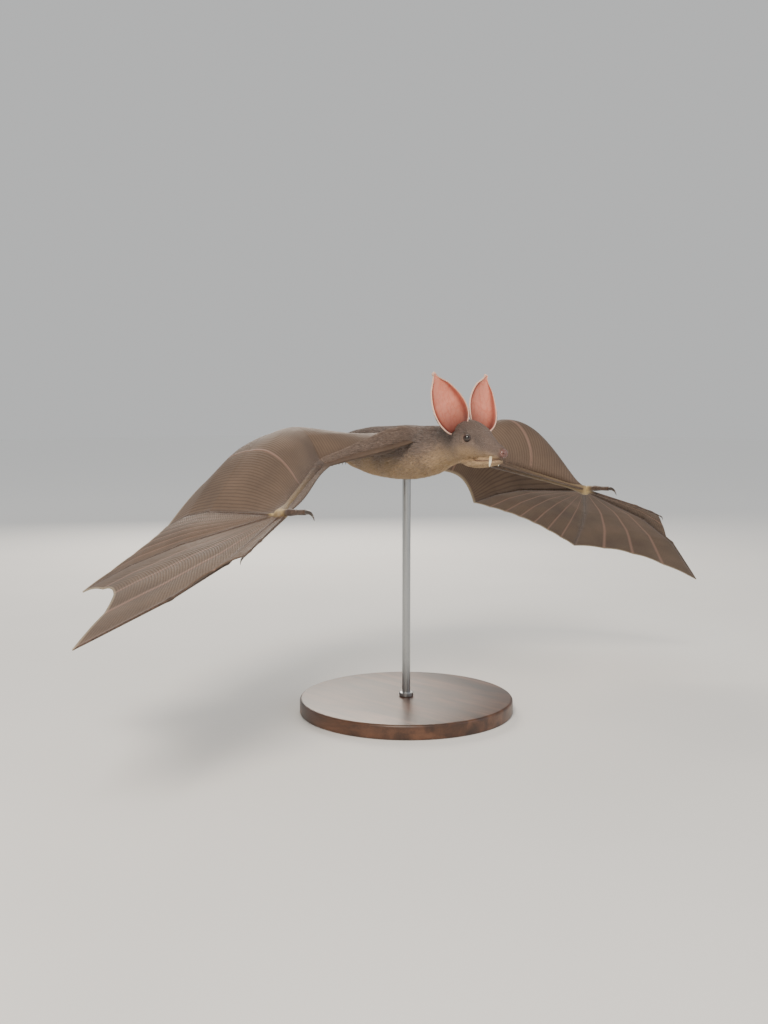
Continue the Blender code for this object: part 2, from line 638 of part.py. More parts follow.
body = {"trunk": trunk(), "neck": neck(), "head": head()}
cut_trunk, cut_neck, cut_head = trunk(GAP, True), neck(GAP, True), head(GAP, True)
jaw = lower_jaw()
boolean(jaw, [cut_head, cut_neck])
nose()
boolean(body["head"], [nose(GAP, True)])
boolean(stand(), [cut_trunk])
thumb_end = {}
for side in "LR":
    eye(side)
    boolean(body["head"], [eye(side, GAP, True)])
    boolean(canine(side), [cut_head])
    boolean(jaw, [canine(side, GAP, True)])
    boolean(ear(side), [cut_head, cut_neck])

    cut_arm, cut_forearm = upper_arm(side, GAP, True), forearm(side, GAP, True)
    boolean(upper_arm(side), [cut_trunk, cut_neck])
    boolean(forearm(side), [cut_arm])
    cut_thumb = thumb(side, GAP, True)[0]
    cut_finger = {digit: finger(side, digit, GAP, True) for digit in FINGER_BONES}
    for digit in FINGER_BONES:
        beside = [cut_finger[digit - 1]] if digit > 2 else [cut_thumb]
        boolean(finger(side, digit), [cut_forearm] + beside)
    thumb_end[side] = thumb(side)
    boolean(thumb_end[side][0], [cut_forearm])
    thumb_claw(side)
    index_claw(side)

    cut_thigh, cut_shank = thigh(side, GAP, True), shank(side, GAP, True)
    boolean(thigh(side), [cut_trunk])
    boolean(shank(side), [cut_thigh])
    toes = foot(side)
    boolean(toes, [cut_shank])

    trim_sheet(arm_panel(side), [cut_trunk, cut_arm, cut_forearm, cut_finger[5], cut_thigh, cut_shank])
    trim_sheet(leading_panel(side), [cut_trunk, cut_neck, cut_arm, cut_forearm, cut_finger[2], cut_thumb])
    trim_sheet(leg_panel(side), [cut_trunk, cut_thigh, cut_shank])
    outer = hand_panel(side, 2, 3, 0.0, INDEX_PANEL_REACH, (7, 2))
    trim_sheet(outer, [cut_forearm, cut_finger[2], cut_finger[3], cut_thumb])
    for first, second in ((3, 4), (4, 5)):
        web = hand_panel(side, first, second, SCALLOP[side][f"{first}_{second}"])
        trim_sheet(web, [cut_forearm, cut_finger[first], cut_finger[second]])

for row in BOOLEANS:
    add_booleans(*row)
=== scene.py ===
"""A flying fox bat in flight, as a life-size museum model on a display stand."""

import math

import bpy
import numpy as np
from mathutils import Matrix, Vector


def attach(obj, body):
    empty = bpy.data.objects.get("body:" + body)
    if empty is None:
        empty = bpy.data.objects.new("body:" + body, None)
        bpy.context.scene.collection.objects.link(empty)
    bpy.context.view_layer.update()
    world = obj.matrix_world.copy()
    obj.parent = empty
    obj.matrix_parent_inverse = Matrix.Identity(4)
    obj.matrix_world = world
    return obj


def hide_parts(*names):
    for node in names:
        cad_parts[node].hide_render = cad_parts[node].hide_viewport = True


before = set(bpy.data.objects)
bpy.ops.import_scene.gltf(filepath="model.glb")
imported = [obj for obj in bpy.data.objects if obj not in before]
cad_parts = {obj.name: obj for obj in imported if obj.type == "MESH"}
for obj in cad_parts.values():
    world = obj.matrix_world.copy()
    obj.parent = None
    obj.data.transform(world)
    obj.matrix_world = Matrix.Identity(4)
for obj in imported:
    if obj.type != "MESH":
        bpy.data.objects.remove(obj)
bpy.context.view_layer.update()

# ---- Display stand -----------------------------------------------------------------------------------
# A turned walnut disc with an oiled finish, and one brushed steel rod screwed into its middle.
# The rod's upper end sits in the belly and carries the whole model.

MM = 0.001
BAT_HEIGHT, BAT_AHEAD = 200.0, 12.0  # where the bat's own datum stands over the middle of the base
BASE_RADIUS, BASE_THICKNESS, BASE_EDGE = 105.0, 14.0, 2.5
ROD_RADIUS, ROD_TOP = 4.0, 41.0
UP = np.array([0.0, 0.0, 1.0])
AHEAD = np.array([0.0, -1.0, 0.0])


def linear(colour):
    """An sRGB hex colour as linear red, green and blue, with 1 for alpha."""
    parts = np.array([int(colour[i : i + 2], 16) / 255 for i in (0, 2, 4)])
    parts = np.where(parts <= 0.04045, parts / 12.92, ((parts + 0.055) / 1.055) ** 2.4)
    return (*parts.tolist(), 1.0)


def plug(node, inputs):
    """Gives each named socket of a node its value, or links it to the output that feeds it."""
    for key, value in inputs.items():
        if isinstance(value, bpy.types.NodeSocket):
            node.id_data.links.new(value, node.inputs[key])
        else:
            node.inputs[key].default_value = value


def add(tree, kind, inputs=None, stops=(), out=0, **settings):
    """Adds one shader node and returns one output of it: settings are the node's own, inputs are plugged in,
    and stops are a ramp's places and hex colours."""
    made = tree.nodes.new("ShaderNode" + kind)
    for name, value in settings.items():
        setattr(made, name, value)
    for i, (place, colour) in enumerate(stops):
        ramp = made.color_ramp.elements
        stop = ramp[i] if i < 2 else ramp.new(place)
        stop.position, stop.color = place, linear(colour)
    plug(made, inputs or {})
    return made.outputs[out]


def finish(name, plain):
    """A new material: its node tree and its shader, with the shader's plain values set on its own sockets."""
    made = bpy.data.materials.new(name)
    made.use_nodes = True
    shader = made.node_tree.nodes["Principled BSDF"]
    plug(shader, plain)
    return made, made.node_tree, shader


def outward(points, quads, tris):
    """The same faces, all turned round if together they enclose a negative volume."""
    halves = np.concatenate([quads[:, [0, 1, 2]], quads[:, [0, 2, 3]], tris])
    a, b, c = (points[halves[:, i]] for i in range(3))
    if (a * np.cross(b, c)).sum() < 0:
        return points, quads[:, ::-1], tris[:, ::-1]
    return points, quads, tris


def grid_faces(rows, columns, wrap=False):
    """Quads between the rows of a grid of points; with wrap the last column joins the first."""
    i = np.arange(rows - 1)[:, None]
    j = np.arange(columns if wrap else columns - 1)[None]
    k = (j + 1) % columns
    here, below = i * columns, (i + 1) * columns
    return np.stack([here + j, here + k, below + k, below + j], -1).reshape(-1, 4)


def closed(rings):
    """A closed skin over rings of equally many points: quads between rings, and a fan over each end."""
    count, around = rings.shape[:2]
    points = np.concatenate([rings.reshape(-1, 3), rings[[0, -1]].mean(axis=1)])
    j = np.arange(around)
    k = (j + 1) % around
    last, pole = (count - 1) * around, np.full(around, count * around)
    fans = [np.stack([k, j, pole], -1), np.stack([last + j, last + k, pole + 1], -1)]
    return outward(points, grid_faces(count, around, wrap=True), np.concatenate(fans))


def build(name, points, quads, tris, material, values=None, uv=None):
    """A piece from points in the bat's datum, in mm, with one float attribute per entry of values."""
    mesh = bpy.data.meshes.new(name)
    corners = np.concatenate([quads.ravel(), tris.ravel()])
    sizes = np.concatenate([np.full(len(quads), 4), np.full(len(tris), 3)])
    mesh.vertices.add(len(points))
    placed = (points + (0.0, -BAT_AHEAD, BAT_HEIGHT)) * MM
    mesh.vertices.foreach_set("co", placed.astype(np.float32).ravel())
    mesh.loops.add(len(corners))
    mesh.loops.foreach_set("vertex_index", corners.astype(np.int32))
    mesh.polygons.add(len(sizes))
    mesh.polygons.foreach_set("loop_start", np.concatenate([[0], np.cumsum(sizes)[:-1]]).astype(np.int32))
    mesh.update(calc_edges=True)
    for key, numbers in (values or {}).items():
        mesh.attributes.new(key, "FLOAT", "POINT").data.foreach_set("value", numbers.astype(np.float32))
    if uv is not None:
        mesh.uv_layers.new(name="OFBake").uv.foreach_set("vector", uv[corners].astype(np.float32).ravel())
    mesh.shade_smooth()
    mesh.materials.append(material)
    made = bpy.data.objects.new(name, mesh)
    bpy.context.scene.collection.objects.link(made)
    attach(made, "root")
    return made


def circle(count):
    """Angles evenly round a full circle, in radians."""
    return np.linspace(0, 2 * math.pi, count, endpoint=False)


def turned(profile, around):
    """A solid of revolution about the upright axis: each (radius, height) swept round a circle."""
    angle = circle(around)
    radius, height = np.array(profile).T[:, :, None]
    return closed(np.stack([radius * np.cos(angle), radius * np.sin(angle), height + 0 * angle], -1))


BLEND = {"data_type": "RGBA", "out": 2}  # what makes a Mix node blend colours, and multiply them
MULTIPLY = BLEND | {"blend_type": "MULTIPLY"}


def per(*sizes):
    """A pattern's scale, one over the size of its marks in mm, which may differ along x, y and z."""
    scales = [1 / (size * MM) for size in sizes]
    return scales[0] if len(scales) == 1 else scales


# Walnut, oiled: dark bands some 14 mm across, with fine pores drawn out along the grain, in a low sheen
walnut, tree, shader = finish(
    "oiled_walnut", {"Roughness": 0.42, "Coat Weight": 0.15, "Coat Roughness": 0.35}
)
place = add(tree, "TexCoord", out="Object")
grain = add(tree, "Mapping", {"Vector": place, "Scale": per(14.3, 111.0, 14.3)})
grain = add(tree, "TexNoise", {"Vector": grain, "Scale": 1.0, "Detail": 6.0, "Distortion": 0.6})
pores = add(tree, "Mapping", {"Vector": place, "Scale": per(0.714, 16.7, 0.714)})
pores = add(tree, "TexNoise", {"Vector": pores, "Scale": 1.0, "Detail": 2.0})
tone = add(tree, "ValToRGB", {"Fac": grain}, [(0.3, "2a1a10"), (0.7, "6a4630"), (0.5, "4a2e1d")])
dark = add(tree, "MapRange", {"Value": pores, 1: 0.35, 2: 0.6, 3: 0.7, 4: 1.0})
tone = add(tree, "Mix", {0: 1.0, 6: tone, 7: dark}, **MULTIPLY)
bump = add(tree, "Bump", {"Height": pores, "Strength": 0.15, "Distance": 0.2 * MM})
plug(shader, {"Base Color": tone, "Normal": bump})

# Steel, drawn and brushed along its length
steel, tree, shader = finish("brushed_steel", {"Metallic": 1.0, "Base Color": linear("a9abac")})
place = add(tree, "TexCoord", out="Object")
lines = add(tree, "Mapping", {"Vector": place, "Scale": per(0.4, 0.4, 16.7)})
lines = add(tree, "TexNoise", {"Vector": lines, "Scale": 1.0, "Detail": 2.0})
rough = add(tree, "MapRange", {"Value": lines, 1: 0.3, 2: 0.7, 3: 0.22, 4: 0.4})
bump = add(tree, "Bump", {"Height": lines, "Strength": 0.1, "Distance": 0.05 * MM})
plug(shader, {"Roughness": rough, "Normal": bump})

corner = np.linspace(0, math.pi / 2, 7)
rim_out = BASE_RADIUS - BASE_EDGE * (1 - np.cos(corner))
rim_up = BASE_EDGE * np.sin(corner)
foot = [(0.01, 0), (BASE_RADIUS - 1.0, 0), (BASE_RADIUS, 1.0)]
top = list(zip(rim_out, BASE_THICKNESS - BASE_EDGE + rim_up))
disc = foot + top + [(60.0, BASE_THICKNESS), (12.0, BASE_THICKNESS), (0.01, BASE_THICKNESS)]
floor_datum = (0.0, BAT_AHEAD, -BAT_HEIGHT)
points, quads, tris = turned(disc, 128)
base = build("stand_base_turned", points + floor_datum, quads, tris, walnut)
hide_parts("stand_base")
low, high = BASE_THICKNESS, BAT_HEIGHT + ROD_TOP
rod = [(0.01, low), (6.5, low), (7.0, low + 0.6), (7.0, low + 3.4), (6.4, low + 4.0), (ROD_RADIUS, low + 4.2)]
rod += [(ROD_RADIUS, low + 40), (ROD_RADIUS, low + 90), (ROD_RADIUS, high), (0.01, high)]
points, quads, tris = turned(rod, 40)
rod = build("stand_rod_turned", points + floor_datum, quads, tris, steel)
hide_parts("stand_rod")
for piece in (base, rod):
    piece.data.set_sharp_from_angle(angle=math.radians(35))

# ---- Body skin ---------------------------------------------------------------------------------------
# One skin over trunk, neck, head, jaw, upper arms and thighs, in the hide's soft grey-brown. It lies below
# the coat's tips by the coat's depth, and is bare at the lips and round the nose and the eyes.

COAT_DEPTH, FACE_DEPTH = 2.6, 0.5  # the coat's thickness over the trunk and over the muzzle
BODY_FRONT, BODY_SPAN = -112.0, 222.0  # y before the nose, and from there to behind the rump
# Sections of the body from the rump to the muzzle: y, centre z, half width, height above and below the centre
BODY = np.array([
    (106, 61.0, 2.0, 2.0, 2.0), (101, 61.0, 10.0, 8.5, 9.0), (88, 59.5, 19.0, 15.5, 18.0),
    (62, 57.0, 26.0, 23.0, 24.5), (30, 55.0, 30.5, 26.5, 27.0), (-2, 56.0, 32.0, 26.5, 27.0),
    (-24, 60.0, 26.0, 22.5, 25.5),
    (-40, 64.5, 20.5, 19.0, 23.5), (-54, 68.5, 19.5, 18.5, 25.0), (-68, 69.5, 19.0, 18.5, 24.0),
    (-79, 67.5, 15.5, 15.5, 20.5), (-88, 63.5, 11.2, 11.5, 14.8), (-97, 59.5, 8.4, 8.2, 9.6),
    (-105, 56.5, 6.8, 6.4, 6.2), (-109, 55.3, 4.2, 3.4, 4.0),
])
JAW = np.array([
    (-58, 51.5, 9.0, 4.0, 3.0), (-66, 46.4, 13.0, 6.0, 4.4), (-76, 46.4, 12.0, 6.0, 4.6),
    (-86, 47.4, 9.4, 5.0, 4.6), (-96, 48.6, 7.0, 3.8, 4.0), (-102, 49.4, 5.4, 3.0, 3.5),
    (-105.5, 50.0, 3.0, 1.8, 2.2),
])
# The line where the lips meet, from the front of the mouth to its corner: y, z
LIPS = np.array([(-108.0, 51.8), (-103.0, 50.9), (-96.0, 50.2), (-88.0, 49.7), (-82.0, 49.7), (-77.0, 51.2)])
SHOULDER = np.array([23.0, -6.0, 71.0])
HIP, KNEE, ANKLE = np.array([(14.0, 84.0, 58.0), (40.0, 103.0, 57.0), (48.0, 141.0, 48.0)])
EYE_CENTRE, EYE_RADIUS = np.array([13.2, -76.8, 70.2]), 3.9
SOCKET = 2.8  # how near the eye's centre the skin goes, inside the eyeball
NOSE_CENTRE = np.array([0.0, -108.2, 56.4])
BRIDGE = (0.0, -86.0, 76.5)  # where the face is hollowed a little between the eyes
# Brow, hollow before the eye, cheek and whisker pad: how far each rises, its centre, and its reach by axis
FACE_RELIEF = [
    (1.0, EYE_CENTRE + (0.2, 0.5, 6.4), (5.5, 6.0, 2.6)),
    (-1.3, EYE_CENTRE + (1.0, -7.0, -2.5), (5.0, 4.5, 4.0)),
    (0.9, (15.5, -66.0, 60.0), (7.0, 8.0, 7.0)),
    (0.7, (6.8, -99.0, 55.0), (4.0, 6.0, 3.0)),
]
# Where the skin is eased until no crease shows: armpit, groin and throat
ARMPIT, GROIN, THROAT = (17.0, -8.0, 76.0), (18.0, 86.0, 58.0), (0.0, -62.0, 43.0)


def unit(vectors):
    """The same directions, each one long."""
    return vectors / np.linalg.norm(vectors, axis=-1, keepdims=True)


def side_of(point, side):
    """A point or direction of the left side, mirrored where side is R."""
    return np.asarray(point, float) * ((1.0 if side == "L" else -1.0), 1.0, 1.0)


def direction(sweep, droop):
    """Unit vector outwards along +X, turned back by sweep and down by droop, both in degrees."""
    s, d = math.radians(sweep), math.radians(droop)
    return np.array([math.cos(d) * math.cos(s), math.cos(d) * math.sin(s), -math.sin(d)])


UPPER_ARM, FOREARM = 91.0, 129.0
UPPER_ARM_WAY, FOREARM_WAY = (15.7, 15.5), (-33.3, 16.2)  # sweep and droop, degrees
ELBOW = SHOULDER + UPPER_ARM * direction(*UPPER_ARM_WAY)
WRIST = ELBOW + FOREARM * direction(*FOREARM_WAY)


def smooth(knots, values, at):
    """Cubic Hermite curve through values at the rising knots, with each slope taken from its neighbours."""
    slopes = np.gradient(values, knots, axis=0)
    i = np.clip(np.searchsorted(knots, at, side="right") - 1, 0, len(knots) - 2)
    step = (knots[i + 1] - knots[i])[:, None]
    t = ((at - knots[i])[:, None]) / step
    start = (2 * t**3 - 3 * t**2 + 1) * values[i] + (t**3 - 2 * t**2 + t) * step * slopes[i]
    return start + (3 * t**2 - 2 * t**3) * values[i + 1] + (t**3 - t**2) * step * slopes[i + 1]


def bell(x, width):
    """A bell about 0: e to the power of minus the square of x over width."""
    return np.exp(-((x / width) ** 2))


def step_up(low, high, x):
    """Rises smoothly from 0 at low to 1 at high."""
    t = np.clip((x - low) / (high - low), 0, 1)
    return t * t * (3 - 2 * t)


def coat_depth(y):
    """The coat's thickness, from the trunk's down to the face's between the ears and the nose."""
    return FACE_DEPTH + (COAT_DEPTH - FACE_DEPTH) * step_up(-98.0, -48.0, y)


def body_rings(stations, at, around, depth):
    """Egg-shaped sections square to the centre line at the y values, drawn in by the coat's depth there."""
    order = stations[::-1]
    rows = smooth(order[:, 0], order, at)
    inside = np.clip(at, order[0, 0] + 0.5, order[-1, 0] - 0.5)
    slope = smooth(order[:, 0], order, inside + 0.5)[:, :2] - smooth(order[:, 0], order, inside - 0.5)[:, :2]
    slope = unit(slope)
    angle = circle(around)
    shrunk = np.maximum(rows[:, 2:] - depth[:, None], 0.4)
    lift = np.where(np.sin(angle) > 0, shrunk[:, 1:2], shrunk[:, 2:3]) * np.sin(angle)
    x = shrunk[:, :1] * np.cos(angle)
    return np.stack([x, rows[:, :1] - lift * slope[:, 1:], rows[:, 1:2] + lift * slope[:, :1]], axis=-1)


def tube(path, radii, around=20, flat=1.0, level=UP):
    """Circles square to a path, each with its first axis level, and squeezed by flat along its second."""
    path, radii = np.asarray(path, float), np.broadcast_to(radii, len(path)).astype(float)
    tangent = unit(np.gradient(path, axis=0))
    side = unit(np.cross(tangent, level))
    top = np.cross(side, tangent)
    angle = circle(around)[None, :, None]
    spread = np.cos(angle) * side[:, None] + flat * np.sin(angle) * top[:, None]
    return path[:, None] + radii[:, None, None] * spread


# Radii at places along the limb; the places before 0 round it off inside the body
ARM_RADII = [(-0.16, 5.0), (-0.12, 8.4), (-0.06, 11.2), (0, 12.4), (0.2, 11.6)]
ARM_RADII += [(0.4, 9.6), (0.6, 7.6), (0.8, 6.2), (0.93, 5.6), (1.0, 4.6)]
THIGH_RADII = [(-0.2, 5.0), (-0.1, 8.4), (0, 9.5), (0.3, 8.8), (0.6, 7.2), (0.85, 5.9), (1.0, 5.2)]


def limb_rings(start, end, radii, depth, count=60):
    """A straight limb's sections, its radius running through (place, radius) pairs less the coat's depth."""
    places, sizes = np.array(radii).T
    t = np.linspace(places[0], 1, count)
    return tube(start + t[:, None] * (end - start), np.interp(t, places, sizes) - depth * (1 - 0.75 * t), 40)


def joined(shells):
    """Several shells as one set of points, quads and triangles."""
    shift = np.concatenate([[0], np.cumsum([len(s[0]) for s in shells])[:-1]])
    return (
        np.concatenate([s[0] for s in shells]),
        np.concatenate([s[1] + n for s, n in zip(shells, shift)]),
        np.concatenate([s[2] + n for s, n in zip(shells, shift)]),
    )


def fused(shells, cube, passes):
    """One closed skin round overlapping shells: filled with cubes of the given size, wrapped and eased."""
    rough_skin = build("skin_rough", *joined(shells), walnut)
    wrap = rough_skin.modifiers.new("wrap", "REMESH")
    wrap.mode, wrap.voxel_size = "VOXEL", cube * MM
    ease = rough_skin.modifiers.new("ease", "SMOOTH")
    ease.factor, ease.iterations = 0.5, passes
    mesh = rough_skin.evaluated_get(bpy.context.evaluated_depsgraph_get()).to_mesh()
    points = np.empty(len(mesh.vertices) * 3, np.float32)
    mesh.vertices.foreach_get("co", points)
    normals = np.empty(len(mesh.vertices) * 3, np.float32)
    mesh.vertices.foreach_get("normal", normals)
    quads = np.empty(len(mesh.loops), np.int32)
    mesh.loops.foreach_get("vertex_index", quads)
    points = points.reshape(-1, 3).astype(float) / MM - (0.0, -BAT_AHEAD, BAT_HEIGHT)
    bpy.data.objects.remove(rough_skin, do_unlink=True)
    return points, normals.reshape(-1, 3).astype(float), quads.reshape(-1, 4).astype(np.int64)


def eased(points, quads, weight, passes):
    """Moves each point towards the mean of its neighbours by half its weight, again and again."""
    chosen = np.flatnonzero(weight > 0.01)
    number = np.full(len(points), -1)
    number[chosen] = np.arange(len(chosen))
    edges = np.concatenate([quads[:, [i, (i + 1) % 4]] for i in range(4)])
    edges = edges[number[edges[:, 0]] >= 0]
    start, end = number[edges[:, 0]], edges[:, 1]
    count = np.bincount(start, minlength=len(chosen))[:, None]
    out, share = points.copy(), 0.5 * weight[chosen][:, None]
    for _ in range(passes):
        total = np.stack([np.bincount(start, out[end, axis], len(chosen)) for axis in range(3)], axis=-1)
        out[chosen] += share * (total / count - out[chosen])
    return out


def dent(points, centre, reach):
    """A soft round weight: 1 at the centre, falling as a bell over reach, which may differ by axis."""
    return np.exp(-((((points - centre) / reach) ** 2).sum(axis=1)))


def mouth_gap(points):
    """Height above the line of the lips, and a weight that is 1 along the mouth and 0 behind its corner."""
    line = np.interp(points[:, 1], LIPS[:, 0], LIPS[:, 1])
    along_mouth = step_up(LIPS[-1, 0] + 1.5, LIPS[-1, 0] - 1.5, points[:, 1])
    return points[:, 2] - line, along_mouth


def face(points, normals):
    """The head's relief: brow, cheeks, hollows, the fold between the lips, and the eyes' sockets."""
    moved = np.zeros(len(points))
    for side in "LR":
        for rise, centre, reach in FACE_RELIEF:
            moved += rise * dent(points, side_of(centre, side), reach)
    moved -= 0.9 * dent(points, BRIDGE, (4.0, 9.0, 6.0))
    height, along_mouth = mouth_gap(points)
    # The fold between the lips, and a low roll on each lip
    moved -= 0.9 * bell(height, 0.8) * along_mouth
    moved += (0.35 * bell(height - 1.9, 1.1) + 0.30 * bell(height + 1.8, 1.0)) * along_mouth
    out = points + moved[:, None] * normals
    for side in "LR":
        away = out - side_of(EYE_CENTRE, side)
        reach = np.linalg.norm(away, axis=1)[:, None]
        sunk = SOCKET + (reach - SOCKET) * step_up(3.7, 4.9, reach)
        out = np.where(reach < 4.9, side_of(EYE_CENTRE, side) + away * (sunk / reach), out)
    return out


at = np.concatenate([np.linspace(105.5, -100, 170), np.linspace(-100.8, -108.6, 14)])
jaw_at = np.linspace(-58.5, -105.3, 56)
jaw_depth = coat_depth(jaw_at) * (0.5 + 0.9 * step_up(-86, -66, jaw_at))
shells = [closed(body_rings(BODY, at, 96, coat_depth(at)))]
shells.append(closed(body_rings(JAW, jaw_at, 48, jaw_depth)))
for side in "LR":
    shells.append(closed(limb_rings(side_of(SHOULDER, side), side_of(ELBOW, side), ARM_RADII, COAT_DEPTH)))
    shells.append(closed(limb_rings(side_of(HIP, side), side_of(KNEE, side), THIGH_RADII, 0.7 * COAT_DEPTH)))
skin_points, skin_normals, skin_quads = fused(shells, cube=0.85, passes=5)
joins = [dent(skin_points, side_of(ARMPIT, side), 15.0) for side in "LR"]
joins += [dent(skin_points, side_of(GROIN, side), 13.0) for side in "LR"]
joins.append(dent(skin_points, THROAT, (16.0, 10.0, 7.0)))
skin_points = eased(skin_points, skin_quads, step_up(0.05, 0.6, np.max(joins, axis=0)), passes=220)
skin_points = face(skin_points, skin_normals)


def around_body(points):
    """For points near the body: reach, 1 at its surface, and the sine and cosine of their angle round it."""
    order = BODY[::-1]
    rows = smooth(order[:, 0], order, np.clip(points[:, 1], order[0, 0], order[-1, 0]))
    up = (points[:, 2] - rows[:, 1]) / np.where(points[:, 2] > rows[:, 1], rows[:, 3], rows[:, 4])
    out = points[:, 0] / rows[:, 2]
    reach = np.hypot(up, out)
    return reach, up / np.maximum(reach, 1e-6), out / np.maximum(reach, 1e-6)


def around_limb(points, start, end, radii):
    """For points near a limb: how far out they lie, 1 being its surface, and how far along it they lie."""
    axis = end - start
    t = ((points - start) @ axis) / (axis @ axis)
    places, sizes = np.array(radii).T
    gap = np.linalg.norm(points - start - np.clip(t, places[0], 1.2)[:, None] * axis, axis=1)
    return gap / np.interp(t, places, sizes) + 4.0 * np.clip(-t, 0, None), t


def regions(points):
    """How much of the body, left arm, right arm, left thigh and right thigh each point belongs to, and the
    place along each limb. A point belongs most to the part whose surface it lies on."""
    reach = [around_body(points)[0]]
    places = []
    for start, end, radii in ((SHOULDER, ELBOW, ARM_RADII), (HIP, KNEE, THIGH_RADII)):
        for side in "LR":
            out, t = around_limb(points, side_of(start, side), side_of(end, side), radii)
            reach.append(out)
            places.append(t)
    share = np.exp(-9.0 * np.array(reach))
    return share / share.sum(axis=0), np.array(places)


def ripple(points, length, seed):
    """Smooth unevenness between about -1 and 1: six plane waves of about that length, at seeded angles."""
    chance = np.random.default_rng(seed)
    heading = unit(chance.normal(size=(6, 3)))
    pitch = 2 * math.pi / (length * chance.uniform(0.6, 1.5, 6))
    phase = chance.uniform(0, 2 * math.pi, 6)
    return np.sin(points @ (heading * pitch[:, None]).T + phase).sum(axis=1) / 3.0


def marking(points):
    """The coat's own pattern: 0 grey-brown on crown, back and arms, up to 1 straw under the belly."""
    share, _ = regions(points)
    rise = around_body(points)[1]
    mark = step_up(0.45, -0.95, rise + 0.12 * ripple(points, 26.0, 3))
    saddle = bell(points[:, 1] + 12.0, 26.0) * step_up(-0.5, 0.3, rise)
    mark = mark * (1 - 0.55 * saddle)
    mark = mark * (1 - 0.35 * step_up(-96, -106, points[:, 1])) * (1 - 0.8 * step_up(96, 104, points[:, 1]))
    return share[0] * mark + (1 - share[0]) * (0.16 + 0.30 * step_up(0.2, -0.9, rise))


def bareness(points):
    """1 on the bare skin of the lips, round the nose and round the eyes, 0 where the coat grows."""
    height, along_mouth = mouth_gap(points)
    lips = bell(height, 0.8) * along_mouth
    nose = step_up(7.6, 5.0, np.linalg.norm((points - NOSE_CENTRE) * (1, 1, 1.1), axis=1))
    eyes = [step_up(4.7, 3.9, np.linalg.norm(points - side_of(EYE_CENTRE, s), axis=1)) for s in "LR"]
    return np.clip(np.max([lips, nose, *eyes], axis=0), 0, 1)


COAT_COLOURS = [(0.0, "71625a"), (1.0, "bda07c"), (0.3, "867468"), (0.62, "a58c72")]
# Hide under fur: it takes the coat's colour, darkened all over as painted shade under the fur and streaked
# like hair, and is matt; the lips are a smooth slate brown
hide, tree, shader = finish("furred_hide", {"Specular IOR Level": 0.3})
mark, bare = (add(tree, "Attribute", out="Fac", attribute_name=name) for name in ("mark", "bare"))
place = add(tree, "TexCoord", out="Object")
hairs = add(tree, "Mapping", {"Vector": place, "Scale": per(0.667, 3.85, 0.667)})
hairs = add(tree, "TexNoise", {"Vector": hairs, "Scale": 1.0, "Detail": 3.0, "Distortion": 0.4})
tone = add(tree, "ValToRGB", {"Fac": mark}, COAT_COLOURS)
# Painted shade: the coat's colour multiplied down to between half and nearly full brightness, in streaks like
# hair
shade = add(tree, "MapRange", {"Value": hairs, 1: 0.3, 2: 0.7, 3: 0.5, 4: 0.95})
shaded_coat_tone = add(tree, "Mix", {0: 1.0, 6: tone, 7: shade}, **MULTIPLY)
lip_tone = add(tree, "ValToRGB", {"Fac": hairs}, [(0.3, "4a3a33"), (0.7, "6a5449")])
tone = add(tree, "Mix", {0: bare, 6: shaded_coat_tone, 7: lip_tone}, **BLEND)
rough = add(tree, "MapRange", {"Value": bare, 3: 0.85, 4: 0.45})
bump = add(tree, "Bump", {"Height": hairs, "Strength": 0.5, "Distance": 0.5 * MM})
plug(shader, {"Base Color": tone, "Roughness": rough, "Normal": bump})

flesh = build(
    "body_skin", *outward(skin_points, skin_quads, np.empty((0, 3), int)), hide,
    {"mark": marking(skin_points), "bare": bareness(skin_points)},
)
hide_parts("trunk", "neck", "head", "lower_jaw", "upper_arm_L", "upper_arm_R", "thigh_L", "thigh_R")

# ---- Coat --------------------------------------------------------------------------------------------
# Short, dense fur combed back from the nose: thousands of thin locks that lie along the body, finest on the
# face. Each lock is a slim three-sided blade set into the skin, dark at the root and paler at its tip.

LOCK_STATIONS = np.array([0.0, 0.3, 0.65, 1.0])  # places along a lock; the last is its point
# Per region: spacing of roots, lock length and width, all mm, and how far the tips stand up
COAT_SIZES = dict(trunk=(0.76, 9.5, 0.87, 1.9), head=(0.50, 5.0, 0.50, 1.1), face=(0.36, 2.6, 0.34, 0.5))


def scatter(points, quads, spacing, wanted, seed):
    """Even random places on a skin: far more than needed are drawn by area, and each small cube keeps one."""
    chance = np.random.default_rng(seed)
    keep_face = wanted(points[quads].mean(axis=1))
    faces = quads[keep_face]
    corner = points[faces]
    area = np.linalg.norm(np.cross(corner[:, 2] - corner[:, 0], corner[:, 3] - corner[:, 1]), axis=1) / 2
    count = int(area.sum() / spacing**2 * 2.2)
    pick = np.searchsorted(np.cumsum(area) / area.sum(), chance.random(count))
    pick = np.minimum(pick, len(faces) - 1)
    u, v = chance.random((2, count, 1))
    here = corner[pick]
    spot = (here[:, 0] * (1 - u) + here[:, 1] * u) * (1 - v) + (here[:, 3] * (1 - u) + here[:, 2] * u) * v
    facing = np.cross(here[:, 2] - here[:, 0], here[:, 3] - here[:, 1])
    cube = np.floor(spot / spacing).astype(np.int64)
    cube -= cube.min(axis=0)
    size = cube.max(axis=0) + 1
    _, first = np.unique((cube[:, 0] * size[1] + cube[:, 1]) * size[2] + cube[:, 2], return_index=True)
    return spot[first], unit(facing[first])


def combed_flow(points, normals):
    """The coat's lie: tailwards on the body and outwards on the limbs, flat to the skin, with soft swirls."""
    ways = [-AHEAD - 0.22 * UP]
    ways += [unit(side_of(axis, side)) for axis in (ELBOW - SHOULDER, KNEE - HIP) for side in "LR"]
    flow = sum(share[:, None] * way for share, way in zip(regions(points)[0], ways))
    flow = unit(flow - (flow * normals).sum(axis=1)[:, None] * normals)
    swirl = (0.16 * ripple(points, 17.0, 5) + 0.14 * ripple(points, 6.0, 8))[:, None]
    return flow * np.cos(swirl) + np.cross(normals, flow) * np.sin(swirl)


